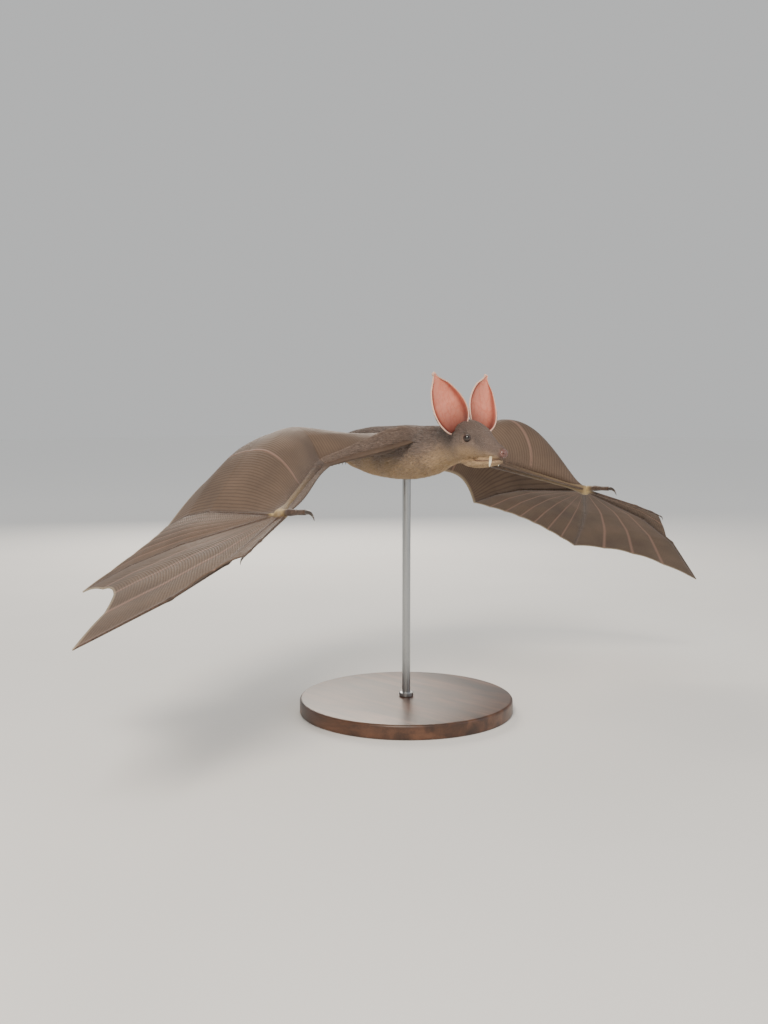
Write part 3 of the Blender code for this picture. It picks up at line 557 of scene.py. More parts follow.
def locks(name, roots, normals, flow, length, width, stand, mark, uv, seed):
    """Locks as one array: each follows root + s length flow, rising to stand and curling aside, and narrows
    to a point; its section is a flat triangle whose ridge is on the outside."""
    chance = np.random.default_rng(seed)
    count = len(roots)
    s = LOCK_STATIONS[None, :, None]
    length, width, stand = (np.broadcast_to(x, count)[:, None, None] for x in (length, width, stand))
    long = length * chance.uniform(0.75, 1.2, (count, 1, 1))
    lift = stand * chance.uniform(0.55, 1.1, (count, 1, 1))
    curl = chance.normal(0, 0.10, (count, 1, 1)) * long
    across = np.cross(normals, flow)[:, None]
    line = roots[:, None] + flow[:, None] * long * s + across * curl * s**2
    line = line + normals[:, None] * (lift * (1.75 * s - 0.75 * s**2) - 0.35)
    wide = width * chance.uniform(0.8, 1.2, (count, 1, 1)) * (1 - s**2.2) * (0.75 + 0.5 * s)
    body = line[:, :3]
    left, right = body - across * wide[:, :3] / 2, body + across * wide[:, :3] / 2
    ridge = body + normals[:, None] * wide[:, :3] * 0.38
    points = np.concatenate([np.stack([left, right, ridge], 2).reshape(count, 9, 3), line[:, 3:]], axis=1)
    pairs = ((2, 0), (0, 1), (1, 2))
    sides = np.array([(3 * i + a, 3 * i + b, 3 * i + 3 + b, 3 * i + 3 + a) for i in (0, 1) for a, b in pairs])
    ends = np.array([(8, 6, 9), (6, 7, 9), (7, 8, 9), (0, 2, 1)])
    base = np.arange(count)[:, None, None] * 10
    quads, tris = (sides + base).reshape(-1, 4), (ends + base).reshape(-1, 3)
    tip = np.repeat(LOCK_STATIONS, (3, 3, 3, 1))
    patch = 0.003 * np.stack([np.array([0, 1, 0.5] * 3 + [0.5]), tip], -1)
    own = np.repeat(chance.random(count), 10)
    values = {"mark": np.repeat(mark, 10), "tip": np.tile(tip, count), "lock": own}
    spread = np.clip(uv, 0, 1)[:, None] * 0.997 + patch[None]
    made = build(name, points.reshape(-1, 3), quads, tris, fur, values, spread.reshape(-1, 2))


# Fur: locks of fine hair, matt with a faint sheen along them; darker towards the root and paler at the tip
fur, tree, shader = finish(
    "bat_fur", {"Roughness": 0.72, "Specular IOR Level": 0.35, "Sheen Weight": 0.15, "Sheen Roughness": 0.4}
)
mark, tip, lock = (add(tree, "Attribute", out="Fac", attribute_name=name) for name in ("mark", "tip", "lock"))
tone = add(tree, "ValToRGB", {"Fac": mark}, COAT_COLOURS)
root_shade = add(tree, "MapRange", {"Value": tip, 1: 0.0, 2: 0.8, 3: 0.55, 4: 1.08})
own_shade = add(tree, "MapRange", {"Value": lock, 3: 0.82, 4: 1.14})
shade = add(tree, "Math", {0: root_shade, 1: own_shade}, operation="MULTIPLY")
plug(shader, {"Base Color": add(tree, "Mix", {0: 1.0, 6: tone, 7: shade}, **MULTIPLY)})


def body_chart(points):
    """The body's own unwrap: how far round its section, and how far from nose to rump."""
    _, rise, out = around_body(points)
    turn = np.arctan2(out, rise) / (2 * math.pi) + 0.5
    return np.stack([turn, (points[:, 1] - BODY_FRONT) / BODY_SPAN], -1)


def limb_chart(points, start, end):
    """A limb's own unwrap: how far round it, and how far along it."""
    axis = unit(end - start)
    side = unit(np.cross(axis, UP))
    away = points - start
    turn = np.arctan2(away @ np.cross(side, axis), away @ side) / (2 * math.pi) + 0.5
    return np.stack([turn, (away @ axis) / np.linalg.norm(end - start) * 0.8 + 0.1], -1)


def coat_piece(name, size, wanted, seed, taper=None, limb=None):
    """One region's locks: rooted where hair grows on its skin, and sized for the region and the place."""
    spacing, length, width, stand = COAT_SIZES[size]
    roots, normals = scatter(skin_points, skin_quads, spacing, wanted, seed)
    growing = bareness(roots) < 0.25
    roots, normals = roots[growing], normals[growing]
    chart = limb_chart(roots, *limb) if limb else body_chart(roots)
    scale = taper(roots) if taper else np.ones(len(roots))
    flow = combed_flow(roots, normals)
    width = width * (0.4 + 0.6 * scale)
    locks(name, roots, normals, flow, length * scale, width, stand * scale, marking(roots), chart, seed + 50)


def mostly(part, low=-999.0, high=999.0, rise_low=-9.0, rise_high=9.0):
    """Picks the places that belong to a part, between two y values and two heights round its section."""

    def wanted(points):
        share, _ = regions(points)
        rise = around_body(points)[1]
        inside = (points[:, 1] > low) & (points[:, 1] <= high) & (rise > rise_low) & (rise <= rise_high)
        return (share.argmax(axis=0) == part) & inside

    return wanted


def fall(low, high, least):
    """Lock size along the head and neck: from 1 at y = high down to least at y = low."""
    return lambda points: least + (1 - least) * step_up(low, high, points[:, 1])


def arm_taper(place):
    """Lock size along a limb: full at the body and short towards the elbow or knee."""
    return lambda points: 0.85 - 0.5 * step_up(0.15, 1.0, regions(points)[1][place])


coat_piece("coat_back", "trunk", mostly(0, -26, 999, 0.25, 9), 11)
coat_piece("coat_flanks", "trunk", mostly(0, -26, 999, -0.55, 0.25), 12)
coat_piece("coat_belly", "trunk", mostly(0, -26, 999, -9, -0.55), 13)
coat_piece("coat_neck", "trunk", mostly(0, -52, -26), 14, fall(-56, -26, 0.72))
coat_piece("coat_crown", "head", mostly(0, -86, -52, 0.0, 9), 15, fall(-90, -54, 0.5))
coat_piece("coat_cheeks", "head", mostly(0, -86, -52, -9, 0.0), 16, fall(-90, -54, 0.5))
coat_piece("coat_muzzle", "face", mostly(0, -112, -86), 17, fall(-106, -86, 0.55))
for number, side in enumerate("LR"):
    for name, start, end, part in (("arm", SHOULDER, ELBOW, 0), ("thigh", HIP, KNEE, 2)):
        place, limb = part + number, (side_of(start, side), side_of(end, side))
        seed = 21 + 5 * part + number
        coat_piece(f"coat_{name}_{side}", "trunk", mostly(1 + place), seed, arm_taper(place), limb)

# ---- Eyes and lids -----------------------------------------------------------------------------------
# Glass eyes with a large dark brown iris, set as deep as the living eye, each held by a rolled lid of bare
# skin. The lid is a band that starts on the eyeball, rolls over its own edge and runs back under the fur.

GAZE = unit(np.array([0.80, -0.55, 0.20]))
IRIS_ANGLE, PUPIL_ANGLE = 52.0, 24.0  # degrees from the gaze, seen from the eye's centre
LID_OPEN = (44.0, 37.0)  # half angles of the opening: corner to corner, and top to bottom


def gaze_frame(side):
    """The eye's outward axis, then its level axis and its upright one."""
    gaze = side_of(GAZE, side)
    level = unit(np.cross(UP, gaze))
    return gaze, level, np.cross(gaze, level)


def on_ball(side, tilt, turn, radius):
    """Points round an eye: tilt is the angle from the gaze, turn the angle round it, both in radians."""
    gaze, level, upright = gaze_frame(side)
    tilt, turn, radius = tilt[..., None], turn[..., None], radius[..., None]
    ring = np.cos(turn) * level + np.sin(turn) * upright
    return side_of(EYE_CENTRE, side) + radius * (np.cos(tilt) * gaze + np.sin(tilt) * ring)


# Glass over painted iris: near black pupil, brown iris with fine spokes, and a hard clear gloss
glass_eye, tree, shader = finish("glass_eye", {"Roughness": 0.08, "Coat Weight": 0.5, "Coat Roughness": 0.02})
off, turn = (add(tree, "Attribute", out="Fac", attribute_name=name) for name in ("tilt", "turn"))
spokes = add(tree, "CombineXYZ", {0: turn, 1: off})
spokes = add(tree, "Mapping", {"Vector": spokes, "Scale": (14.0, 0.05, 1.0)})
spokes = add(tree, "TexNoise", {"Vector": spokes, "Scale": 1.0, "Detail": 3.0})
brown = add(tree, "ValToRGB", {"Fac": spokes}, [(0.3, "150a06"), (0.72, "3a2012")])
zone = add(tree, "MapRange", {"Value": off, 1: 0.0, 2: 90.0})
stops = [(0.0, "000000"), (IRIS_ANGLE / 90, "0a0a0a"), (PUPIL_ANGLE / 90, "000000")]
stops += [(PUPIL_ANGLE / 90 + 0.03, "ffffff"), (IRIS_ANGLE / 90 - 0.05, "c0c0c0")]
zone = add(tree, "ValToRGB", {"Fac": zone}, stops)
plug(shader, {"Base Color": add(tree, "Mix", {0: 1.0, 6: brown, 7: zone}, **MULTIPLY)})

# Lid and nose skin: bare, leathery and a little moist, with a pebbled grain about half a millimetre across;
# slate on the lids, and rose on the nose with painted shade turning its nostrils and groove towards slate
bare_face, tree, shader = finish("bare_face_skin", {"Roughness": 0.42, "Coat Roughness": 0.18})
deep = add(tree, "Attribute", out="Fac", attribute_name="deep")
place = add(tree, "TexCoord", out="Object")
pebble = add(tree, "TexVoronoi", {"Vector": place, "Scale": per(0.45)}, out="Distance")
blotch = add(tree, "TexNoise", {"Vector": place, "Scale": per(3.0), "Detail": 3.0})
rose = add(tree, "ValToRGB", {"Fac": blotch}, [(0.25, "56362f"), (0.75, "7c5349")])
slate = add(tree, "ValToRGB", {"Fac": blotch}, [(0.25, "2a211d"), (0.75, "453832")])
tone = add(tree, "Mix", {0: deep, 6: rose, 7: slate}, **BLEND)
moist = add(tree, "MapRange", {"Value": deep, 1: 0.1, 2: 0.9, 3: 0.5, 4: 0.04})
bump = add(tree, "Bump", {"Height": pebble, "Strength": 0.35, "Distance": 0.12 * MM}, invert=True)
plug(shader, {"Base Color": tone, "Coat Weight": moist, "Normal": bump})

for side in "LR":
    tilt, turn = np.meshgrid(np.linspace(0.004, math.pi - 0.004, 40), circle(64), indexing="ij")
    bulge = EYE_RADIUS - 0.12 + 0.10 * bell(tilt, 0.7)
    shell = closed(on_ball(side, tilt, turn, bulge))
    angles = {"tilt": np.append(np.degrees(tilt), [0, 180]), "turn": np.append(turn, [0, 0])}
    eye = build(f"eye_glass_{side}", *shell, glass_eye, angles)
    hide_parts(f"eye_{side}")

    # The lid: across = 0 on the eyeball inside the opening, 1 under the fur behind the eye
    across, turn = np.meshgrid(np.linspace(0, 1, 22), circle(96), indexing="ij")
    wide, tall = np.radians(LID_OPEN)
    opening = 1 / np.sqrt((np.cos(turn) / wide) ** 2 + (np.sin(turn) / tall) ** 2)
    opening *= 1 + 0.16 * np.cos(turn) ** 8 * np.cos(2 * turn)
    roll = across * math.pi
    tilt = opening - 0.10 + 0.50 * across**1.1 + 0.16 * np.where(across < 0.25, -np.sin(4 * roll) * 0.4, 0)
    radius = EYE_RADIUS - 0.35 + 0.5 * np.sin(np.clip(across * 2.3, 0, 1) * math.pi / 2)
    radius += 0.18 * bell(across - 0.55, 0.12) * (np.sin(turn) > 0) * np.sin(turn)
    radius -= 1.2 * step_up(0.6, 1.0, across)
    band = on_ball(side, tilt, turn, radius)
    inner = on_ball(side, tilt[::-1], turn[::-1], radius[::-1] - 0.5)
    rings = np.concatenate([band, inner])
    count, around = rings.shape[:2]
    quads = grid_faces(count + 1, around, wrap=True) % (count * around)
    shell = outward(rings.reshape(-1, 3), quads, np.empty((0, 3), int))
    lid = build(f"eyelid_{side}", *shell, bare_face, {"deep": np.ones(count * around)})

# ---- Nose and teeth ----------------------------------------------------------------------------------
# A bare, moist, rose-brown nose pad, parted by a groove, with a comma-shaped nostril on either side of it.
# Two long ivory canines come down from the upper lip, a little curved and slightly yellow at the gum.

NOSE_RADII = np.array([5.2, 3.4, 4.4])
NOSTRIL = (2.9, -0.3)  # off the middle, and above the pad's centre
CANINE_ROOT, CANINE_LENGTH, CANINE_RADIUS = np.array([6.3, -98.5, 54.0]), 9.5, 1.4

tilt, turn = np.meshgrid(np.linspace(0.01, math.pi - 0.01, 90), circle(140), indexing="ij")
ball = np.stack([np.sin(tilt) * np.cos(turn), -np.cos(tilt), np.sin(tilt) * np.sin(turn)], -1)
x, z = np.abs(ball[..., 0] * NOSE_RADII[0]), ball[..., 2] * NOSE_RADII[2]
front = step_up(0.15, -0.35, ball[..., 1])
hole = ((x - NOSTRIL[0]) / 0.85) ** 2 + ((z - NOSTRIL[1] - 0.45 * (x - NOSTRIL[0])) / 0.45) ** 2
slit = ((x - NOSTRIL[0] - 1.3) / 1.2) ** 2 + ((z - NOSTRIL[1] - 0.1) / 0.32) ** 2
depth = front * (1.2 * np.exp(-(hole**1.3)) + 0.5 * np.exp(-slit))
depth += 0.75 * front * bell(x, 0.5) * (0.35 + 0.65 * step_up(1.5, -2.0, z))
depth -= 0.07 * front * np.exp(-((np.sqrt(hole) - 1.55) ** 2) / 0.12)
rings = NOSE_CENTRE + ball * (NOSE_RADII - 0.35) - ball * depth[..., None]
# Painted shade: the deeper the nostrils and the middle groove are pressed in, the nearer to slate their
# colour
pit_shade = np.clip(depth / 1.4, 0.12, 1)
nose = build("nose_pad", *closed(rings), bare_face, {"deep": np.append(pit_shade, [pit_shade[0].mean(), 0])})
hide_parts("nose")

# Tooth ivory: waxy and slightly translucent, yellower where it leaves the gum
ivory, tree, shader = finish("tooth_ivory", {"Roughness": 0.22, "Coat Weight": 0.3})
down = add(tree, "Attribute", out="Fac", attribute_name="down")
tone = add(tree, "ValToRGB", {"Fac": down}, [(0.0, "c9b184"), (0.55, "f2ead6")])
place = add(tree, "TexCoord", out="Object")
crazing = add(tree, "Mapping", {"Vector": place, "Scale": per(0.4, 0.4, 3.33)})
crazing = add(tree, "TexNoise", {"Vector": crazing, "Scale": 1.0})
bump = add(tree, "Bump", {"Height": crazing, "Strength": 0.15, "Distance": 0.05 * MM})
plug(shader, {"Base Color": tone, "Normal": bump, "Subsurface Weight": 0.15, "Subsurface Scale": 2 * MM})

t = np.linspace(0, 1, 36)
for side in "LR":
    curve = side_of(CANINE_ROOT, side) + np.stack([0 * t, 1.6 * t**2, -CANINE_LENGTH * t], axis=1)
    radii = CANINE_RADIUS * (1 - 0.12 * t) * np.sqrt(np.clip(1 - t**1.9, 0.0004, 1))
    shell = closed(tube(curve, radii, 24, 1.15, level=AHEAD))
    tooth = build(f"canine_ivory_{side}", *shell, ivory, {"down": np.append(np.repeat(t, 24), [0, 1])})
    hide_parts(f"canine_{side}")

# ---- Ears --------------------------------------------------------------------------------------------
# Tall cupped leaves of thin skin, salmon pink inside with faint cross folds and veins, a pale rim, a small
# nub at the tip and a darker back. Fur runs a little way up the back and round the root.

EAR_ROOT, EAR_TIP = np.array([14.5, -64.0, 77.0]), np.array([37.0, -57.0, 129.0])
EAR_WIDTH, EAR_FACING, EAR_CUP = 37.0, {"L": -7.0, "R": 9.5}, 50.0


def ear_leaf(side, v, u):
    """A leaf curled about its long axis: v runs from root to tip and u from edge to edge. Its width rises
    fast from the root and falls to a point, and its edges roll in a little."""
    root, tip = side_of(EAR_ROOT, side), side_of(EAR_TIP, side)
    axis = unit(tip - root)
    turn = math.radians(EAR_FACING[side])
    facing = side_of((math.sin(turn), -math.cos(turn), 0.0), side)
    facing = unit(facing - axis * (facing @ axis))
    across = np.cross(axis, facing)
    half_width = EAR_WIDTH / 2 * (np.sin(math.pi * np.minimum(0.13 + 0.87 * v**0.8, 1)) ** 0.85 + 0.03)
    half_width = half_width * (1 - 0.42 * step_up(0.74, 0.96, v)) + 0.8 * bell(v - 0.975, 0.016)
    curl = math.radians(EAR_CUP) * (1 - 0.45 * v)
    sideways = half_width * np.sin(curl * u) / np.sin(curl)
    forwards = half_width * (1 - np.cos(curl * u)) / np.sin(curl) - 3.0 * np.sin(math.pi * v)
    forwards += 0.09 * np.sin(v * 60.0) * (1 - u**2) * step_up(0.1, 0.3, v) * step_up(0.8, 0.5, v)
    sideways -= 0.5 * np.sign(u) * np.abs(u) ** 12 * np.sin(math.pi * v)
    leaf = root + v[..., None] * (tip - root) + sideways[..., None] * across + forwards[..., None] * facing
    return leaf, half_width


def plate(grid, half):
    """Both faces of a thin sheet: the grid moved out and back along its own normal by half its thickness, and
    closed round the edge. The first half of the points is the side that its normal faces."""
    normal = np.cross(np.gradient(grid, axis=0), np.gradient(grid, axis=1))
    normal /= np.maximum(np.linalg.norm(normal, axis=-1), 1e-9)[..., None]
    rows, columns = grid.shape[:2]
    count = rows * columns
    points = np.concatenate([(grid + way * normal * half[..., None]).reshape(-1, 3) for way in (1, -1)])
    number = np.arange(count).reshape(rows, columns)
    edge = np.concatenate([number[0, :-1], number[:-1, -1], number[-1, :0:-1], number[:0:-1, 0]])
    after = np.roll(edge, -1)
    faces = grid_faces(rows, columns)
    quads = [faces, faces[:, ::-1] + count, np.stack([after, edge, edge + count, after + count], -1)]
    return outward(points, np.concatenate(quads), np.empty((0, 3), int))


def low_on_ear(seed):
    """Picks places on the ear's lowest 5 mm, and fewer and fewer of them up to 20 mm."""
    chance = np.random.default_rng(seed)
    return lambda places: places[:, 2] < EAR_ROOT[2] + 5.0 + 15.0 * chance.random(len(places)) ** 1.5


# Ear skin: thin and warm, so light from behind glows through it; pink inside, with painted shade along the
# inner fold near each edge and deep in the cup at the root; matt grey-brown on the back
ear_skin, tree, shader = finish("ear_skin", {"Subsurface Weight": 0.12, "Subsurface Scale": 1 * MM})
inside, rim, height, fold = (
    add(tree, "Attribute", out="Fac", attribute_name=name) for name in ("inside", "rim", "height", "fold")
)
place = add(tree, "TexCoord", out="Object")
blotch = add(tree, "TexNoise", {"Vector": place, "Scale": per(9.0), "Detail": 4.0})
bend = add(tree, "TexNoise", {"Vector": place, "Scale": per(6.0), "Detail": 2.0}, out=1)
bend = add(tree, "Mix", {0: 0.006, 4: place, 5: bend}, out=1, data_type="VECTOR")
veins = add(tree, "Mapping", {"Vector": bend, "Scale": per(5.26, 5.26, 16.7)})
veins = add(tree, "TexVoronoi", {"Vector": veins, "Scale": 1.0}, feature="DISTANCE_TO_EDGE")
pink = add(tree, "ValToRGB", {"Fac": blotch}, [(0.2, "cb7c66"), (0.8, "d68a73")])
veined = (veins, [(0.0, "f6e3dd"), (0.09, "ffffff")])
# Painted shade: darker pink along the fold near each edge of the cup
fold_shade = (fold, [(0.0, "ffffff"), (1.0, "b58a7d")])
# and painted shade low in the cup, darkest at the ear's root
for value, stops in (veined, fold_shade, (height, [(0.0, "6e4d44"), (0.45, "ffffff")])):
    shade = add(tree, "ValToRGB", {"Fac": value}, stops)
    pink = add(tree, "Mix", {0: 1.0, 6: pink, 7: shade}, **MULTIPLY)
back = add(tree, "ValToRGB", {"Fac": blotch}, [(0.3, "4f3f38"), (0.7, "6e5a50")])
tone = add(tree, "Mix", {0: inside, 6: back, 7: pink}, **BLEND)
edge = add(tree, "MapRange", {"Value": rim, 1: 0.4, 2: 1.3, 3: 1.0, 4: 0.0})
tone = add(tree, "Mix", {0: edge, 6: tone, 7: linear("dcb7a4")}, **BLEND)
bump = add(tree, "Bump", {"Height": veins, "Strength": 0.2, "Distance": 0.2 * MM})
plug(shader, {"Base Color": tone, "Normal": bump, "Specular IOR Level": 0.4})

for number, side in enumerate("LR"):
    u = np.sin(np.linspace(-math.pi / 2, math.pi / 2, 61))
    v, u = np.meshgrid(np.linspace(0, 1, 110), u, indexing="ij")
    grid, half_width = ear_leaf(side, v, u)
    rim = (1 - np.abs(u)) * half_width
    half = 0.42 + 0.22 * bell(rim, 0.8) + 0.6 * bell(v - 0.975, 0.016)
    shell = plate(grid, half)
    facing_in = np.concatenate([np.ones(v.size), np.zeros(v.size)])
    ahead = (shell[0][: v.size] - shell[0][v.size :])[:, 1].mean() < 0
    values = {
        "inside": facing_in if ahead else 1 - facing_in,
        "rim": np.tile(np.minimum(rim, (1 - v) * 30 + 0.2).ravel(), 2),
        "height": np.tile(v.ravel(), 2),
        # where painted shade falls along the inner fold
        "fold": np.tile(bell(np.abs(u) - 0.82, 0.16).ravel(), 2),
    }
    ear = build(f"ear_leaf_{side}", *shell, ear_skin, values)
    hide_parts(f"ear_{side}")

    # Fur on the ear's back, thinning out upwards, and a ruff round its root
    back_points = shell[0][v.size :] if ahead else shell[0][: v.size]
    back_quads = grid_faces(*v.shape)
    roots, normals = scatter(back_points, back_quads, 0.75, low_on_ear(61 + number), 63 + number)
    if normals[:, 1].mean() < 0:
        normals = -normals
    rising = side_of(EAR_TIP - EAR_ROOT, side)
    flow = unit(rising - (normals @ rising)[:, None] * normals)
    over = (roots[:, 0] - roots[:, 0].min()) / np.ptp(roots[:, 0])
    chart = np.stack([over, (roots[:, 2] - 70.0) / 60.0], -1)
    size = 1 - 0.5 * step_up(EAR_ROOT[2], EAR_ROOT[2] + 26, roots[:, 2])
    locks(f"coat_ear_{side}", roots, normals, flow, 4.2 * size, 0.7, 0.7, 0.1 + 0 * size, chart, 65 + number)

# ---- Wings -------------------------------------------------------------------------------------------
# Each wing is one skin: forearm, wrist, thumb and four fingers under the same thin, dry, grey-brown membrane,
# which thickens where it runs onto a bone and ends in a fine pale cord along its free edge.

FOREARM_RADII = [(0, 3.6), (0.05, 5.4), (0.2, 5.2), (0.45, 4.2), (0.7, 3.4), (0.88, 3.3)]
FOREARM_RADII += [(0.95, 4.7), (1.0, 5.4), (1.035, 4.2), (1.05, 1.6)]
FINGER_BONES = {2: (60.0, 20.0, 13.0), 3: (86.0, 60.0, 78.0), 4: (84.0, 49.0, 49.0), 5: (90.0, 37.0, 36.0)}
# The hand bone's sweep and droop in degrees, then what each further bone adds to them
FINGER_POSE = {
    "L": {2: (-31.0, 17.0, 3, 3), 3: (-17.7, 22.7, 10, 8), 4: (34.0, 21.6, 6, 5), 5: (85.5, 2.7, 3, 8)},
    "R": {2: (-31.0, 13.0, 3, 3), 3: (-21.1, 18.9, 12, 0), 4: (50.2, 17.5, 6, 5), 5: (90.4, 2.1, 3, 8)},
}
FINGER_SPREAD = {2: -5.0, 3: -1.5, 4: 1.5, 5: 4.6}  # how far behind the wrist's middle each finger starts
FINGER_THICKNESS = {2: (1.6, 0.7), 3: (1.9, 0.6), 4: (1.7, 0.6), 5: (1.8, 0.6)}
THUMB_ROOT, THUMB_BONES = (-1.0, -4.0, 2.0), (9.0, 25.0)
THUMB_POSE = {"L": (-98.0, -6.0), "R": (-78.0, -8.0)}
SCALLOP = {"L": {"3_4": 0.06, "4_5": 0.03}, "R": {"3_4": 0.16, "4_5": 0.22}}
HAND_BILLOW = 4.0
# How high the air lifts the membrane behind each arm, and where: above 1 outwards, and below 1 forwards
ARM_BILLOW, BILLOW_SKEW = {"L": 56.0, "R": 32.0}, {"L": 2.6, "R": 1.15}
CAMBER_SKEW, TRAILING_SKEW = {"L": 0.55, "R": 0.75}, {"L": 2.6, "R": 1.5}
TRAILING_RISE, TRAILING_SCALLOP, LEADING_SCALLOP, WRIST_FRONT = {"L": 22.0, "R": 26.0}, 10.0, 0.78, 3.5
# Where the membrane leaves the body's side
FLANK = [(18.0, 4.0, 73.0), (16.0, 30.0, 74.0), (13.0, 60.0, 69.0)]
INDEX_REACH = (0.95, 0.60)  # how far the first panel runs along fingers 2 and 3
RAYS = {"2_3": 2, "3_4": 4, "4_5": 7}  # elastic cords fanning from the wrist in each panel
# How far apart the membrane's fine lines are, behind the arm and between the fingers
MUSCLE_SPACING, CREASE_SPACING = 2.9, 3.4
ARM_DEPTH = 130.0  # about how far the free edge lies behind the forearm
MEMBRANE_HALF = 0.30


def chain(start, bones, sweep, droop, sweep_step=0.0, droop_step=0.0):
    """Joint points of bones laid end to end, each turned a little further than the one before."""
    points = [np.array(start, float)]
    for i, bone in enumerate(bones):
        points.append(points[-1] + bone * direction(sweep + i * sweep_step, droop + i * droop_step))
    return np.array(points)


def along(points, fractions):
    """Points at the given fractions of a bent line's length."""
    lengths = np.concatenate([[0], np.cumsum(np.linalg.norm(np.diff(points, axis=0), axis=1))])
    return np.stack([np.interp(np.asarray(fractions) * lengths[-1], lengths, c) for c in points.T], axis=-1)


def finger_joints(side, digit):
    """Joints of one finger, from its root beside the wrist's middle to its tip."""
    spread = direction(FOREARM_WAY[0] + 90, 0) * FINGER_SPREAD[digit]
    return side_of(chain(WRIST + spread, FINGER_BONES[digit], *FINGER_POSE[side][digit]), side)


def nearest_on(points, joints):
    """Each point's distance to a bent line, and the nearest place as a fraction of the line's length."""
    steps = np.diff(joints, axis=0)
    lengths = np.linalg.norm(steps, axis=1)
    away = points[:, None] - joints[:-1][None]
    t = np.clip((away * steps).sum(-1) / lengths**2, 0, 1)
    gap = np.linalg.norm(away - t[..., None] * steps, axis=-1)
    best = gap.argmin(axis=1)
    rows = np.arange(len(points))
    before = np.concatenate([[0], np.cumsum(lengths)])
    return gap[rows, best], (before[best] + t[rows, best] * lengths[best]) / lengths.sum()


def swept(pairs, place):
    """The smooth curve through (place, value) pairs, at each place."""
    knots, values = np.array(pairs).T
    return smooth(knots, values[:, None], np.ravel(place))[:, 0].reshape(np.shape(place))


def bone_radius(bone, place):
    """A wing bone's radius at fractions of its length: fingers narrow to the tip and swell at joints."""
    if bone == "forearm":
        return swept(FOREARM_RADII, place)
    if bone == "upper_arm":
        knots, sizes = np.array(ARM_RADII).T
        return np.interp(place, knots, sizes) - 2.0
    thick, thin = FINGER_THICKNESS[bone]
    lengths = np.array(FINGER_BONES[bone])
    joints = np.cumsum(lengths)[:-1]
    away = (np.asarray(place)[..., None] * lengths.sum() - joints) / 3.2
    return (thick + (thin - thick) * np.asarray(place) ** 0.9) * (1 + 0.42 * np.exp(-(away**2)).sum(axis=-1))


def wing_bones(side):
    """Each bone that shows in the wing, as the bent line through its middle."""
    arm = {"upper_arm": np.array([SHOULDER, ELBOW]), "forearm": np.array([ELBOW, WRIST])}
    bones = {name: side_of(line, side) for name, line in arm.items()}
    return bones | {digit: finger_joints(side, digit) for digit in FINGER_BONES}


def web(side, grid, rim, stripe, ray, dark_rim=0.0):
    """A panel of membrane as a thin plate that swells beside every bone it meets and has a fine cord at its
    free edge, with the values its material reads."""
    flat = grid.reshape(-1, 3)
    swell, near = np.zeros(len(flat)), np.zeros(len(flat))
    for bone, joints in wing_bones(side).items():
        gap, place = nearest_on(flat, joints)
        size = np.minimum(bone_radius(bone, place), 5.0)
        swell = np.maximum(swell, 0.35 * size * bell(gap, 1.25 * size + 0.4))
        # Painted shade: a dark band on the membrane beside each bone, besides the bone's own darker skin
        near = np.maximum(near, bell(gap, 1.9 * size + 0.8))
    swell, near = swell.reshape(rim.shape), near.reshape(rim.shape)
    half = MEMBRANE_HALF + np.minimum(np.clip(swell, 0, 4.5), 0.45 * rim) + 0.32 * bell(rim, 0.9)
    values = {"rim": rim + dark_rim, "stripe": stripe, "ray": ray, "bone": near}
    values["wrist"] = bell(np.linalg.norm(grid - side_of(WRIST, side), axis=-1), 3.5)
    return plate(grid, half), {key: np.tile(value.ravel(), 2) for key, value in values.items()}


def hand_panel(side, first, second, scallop, reach=(1.0, 1.0), counts=(110, 71)):
    """Membrane between two fingers: straight lines joining them, drawn in at the free edge, billowed up, and
    puffed a little between the cords that fan out from the wrist."""
    t = np.linspace(0, 1, counts[1])
    t = t - 0.35 * np.sin(2 * math.pi * t) / (2 * math.pi)
    s, t = np.meshgrid(np.linspace(0, 1, counts[0]), t, indexing="ij")
    pulled = s * (1 - scallop * np.sin(math.pi * t))
    near = along(finger_joints(side, first), pulled * reach[0])
    far = along(finger_joints(side, second), pulled * reach[1])
    width = np.linalg.norm(far - near, axis=-1)
    ray = t * RAYS[f"{first}_{second}"]
    rise = HAND_BILLOW * np.sin(math.pi * t) * np.sin(math.pi * 0.5 * s) * reach[1]
    rise += 0.030 * width / RAYS[f"{first}_{second}"] * np.abs(np.sin(math.pi * ray)) * step_up(0.1, 0.5, s)
    grid = near + t[..., None] * (far - near) + rise[..., None] * UP
    length = sum(FINGER_BONES[first]) * reach[0]
    dark_rim = 5.0 if first == 2 else 0.0
    return web(side, grid, (1 - s) * length, s * length / CREASE_SPACING, ray, dark_rim)


def straightened(grid, u, v):
    """A place across the sheet for each point, so that lines of equal place run smoothly over the bends of
    the lines of equal u: u plus the point's offset, measured along u, from the parabola fitted to its own
    line."""
    fit = np.polynomial.polynomial.polyfit(v, np.moveaxis(grid, 1, 0).reshape(len(v), -1), 2)
    smooth = np.polynomial.polynomial.polyval(v, fit).reshape(len(u), 3, len(v)).transpose(0, 2, 1)
    step = np.gradient(grid, u, axis=0)
    return u[:, None] + ((grid - smooth) * step).sum(axis=-1) / (step**2).sum(axis=-1)


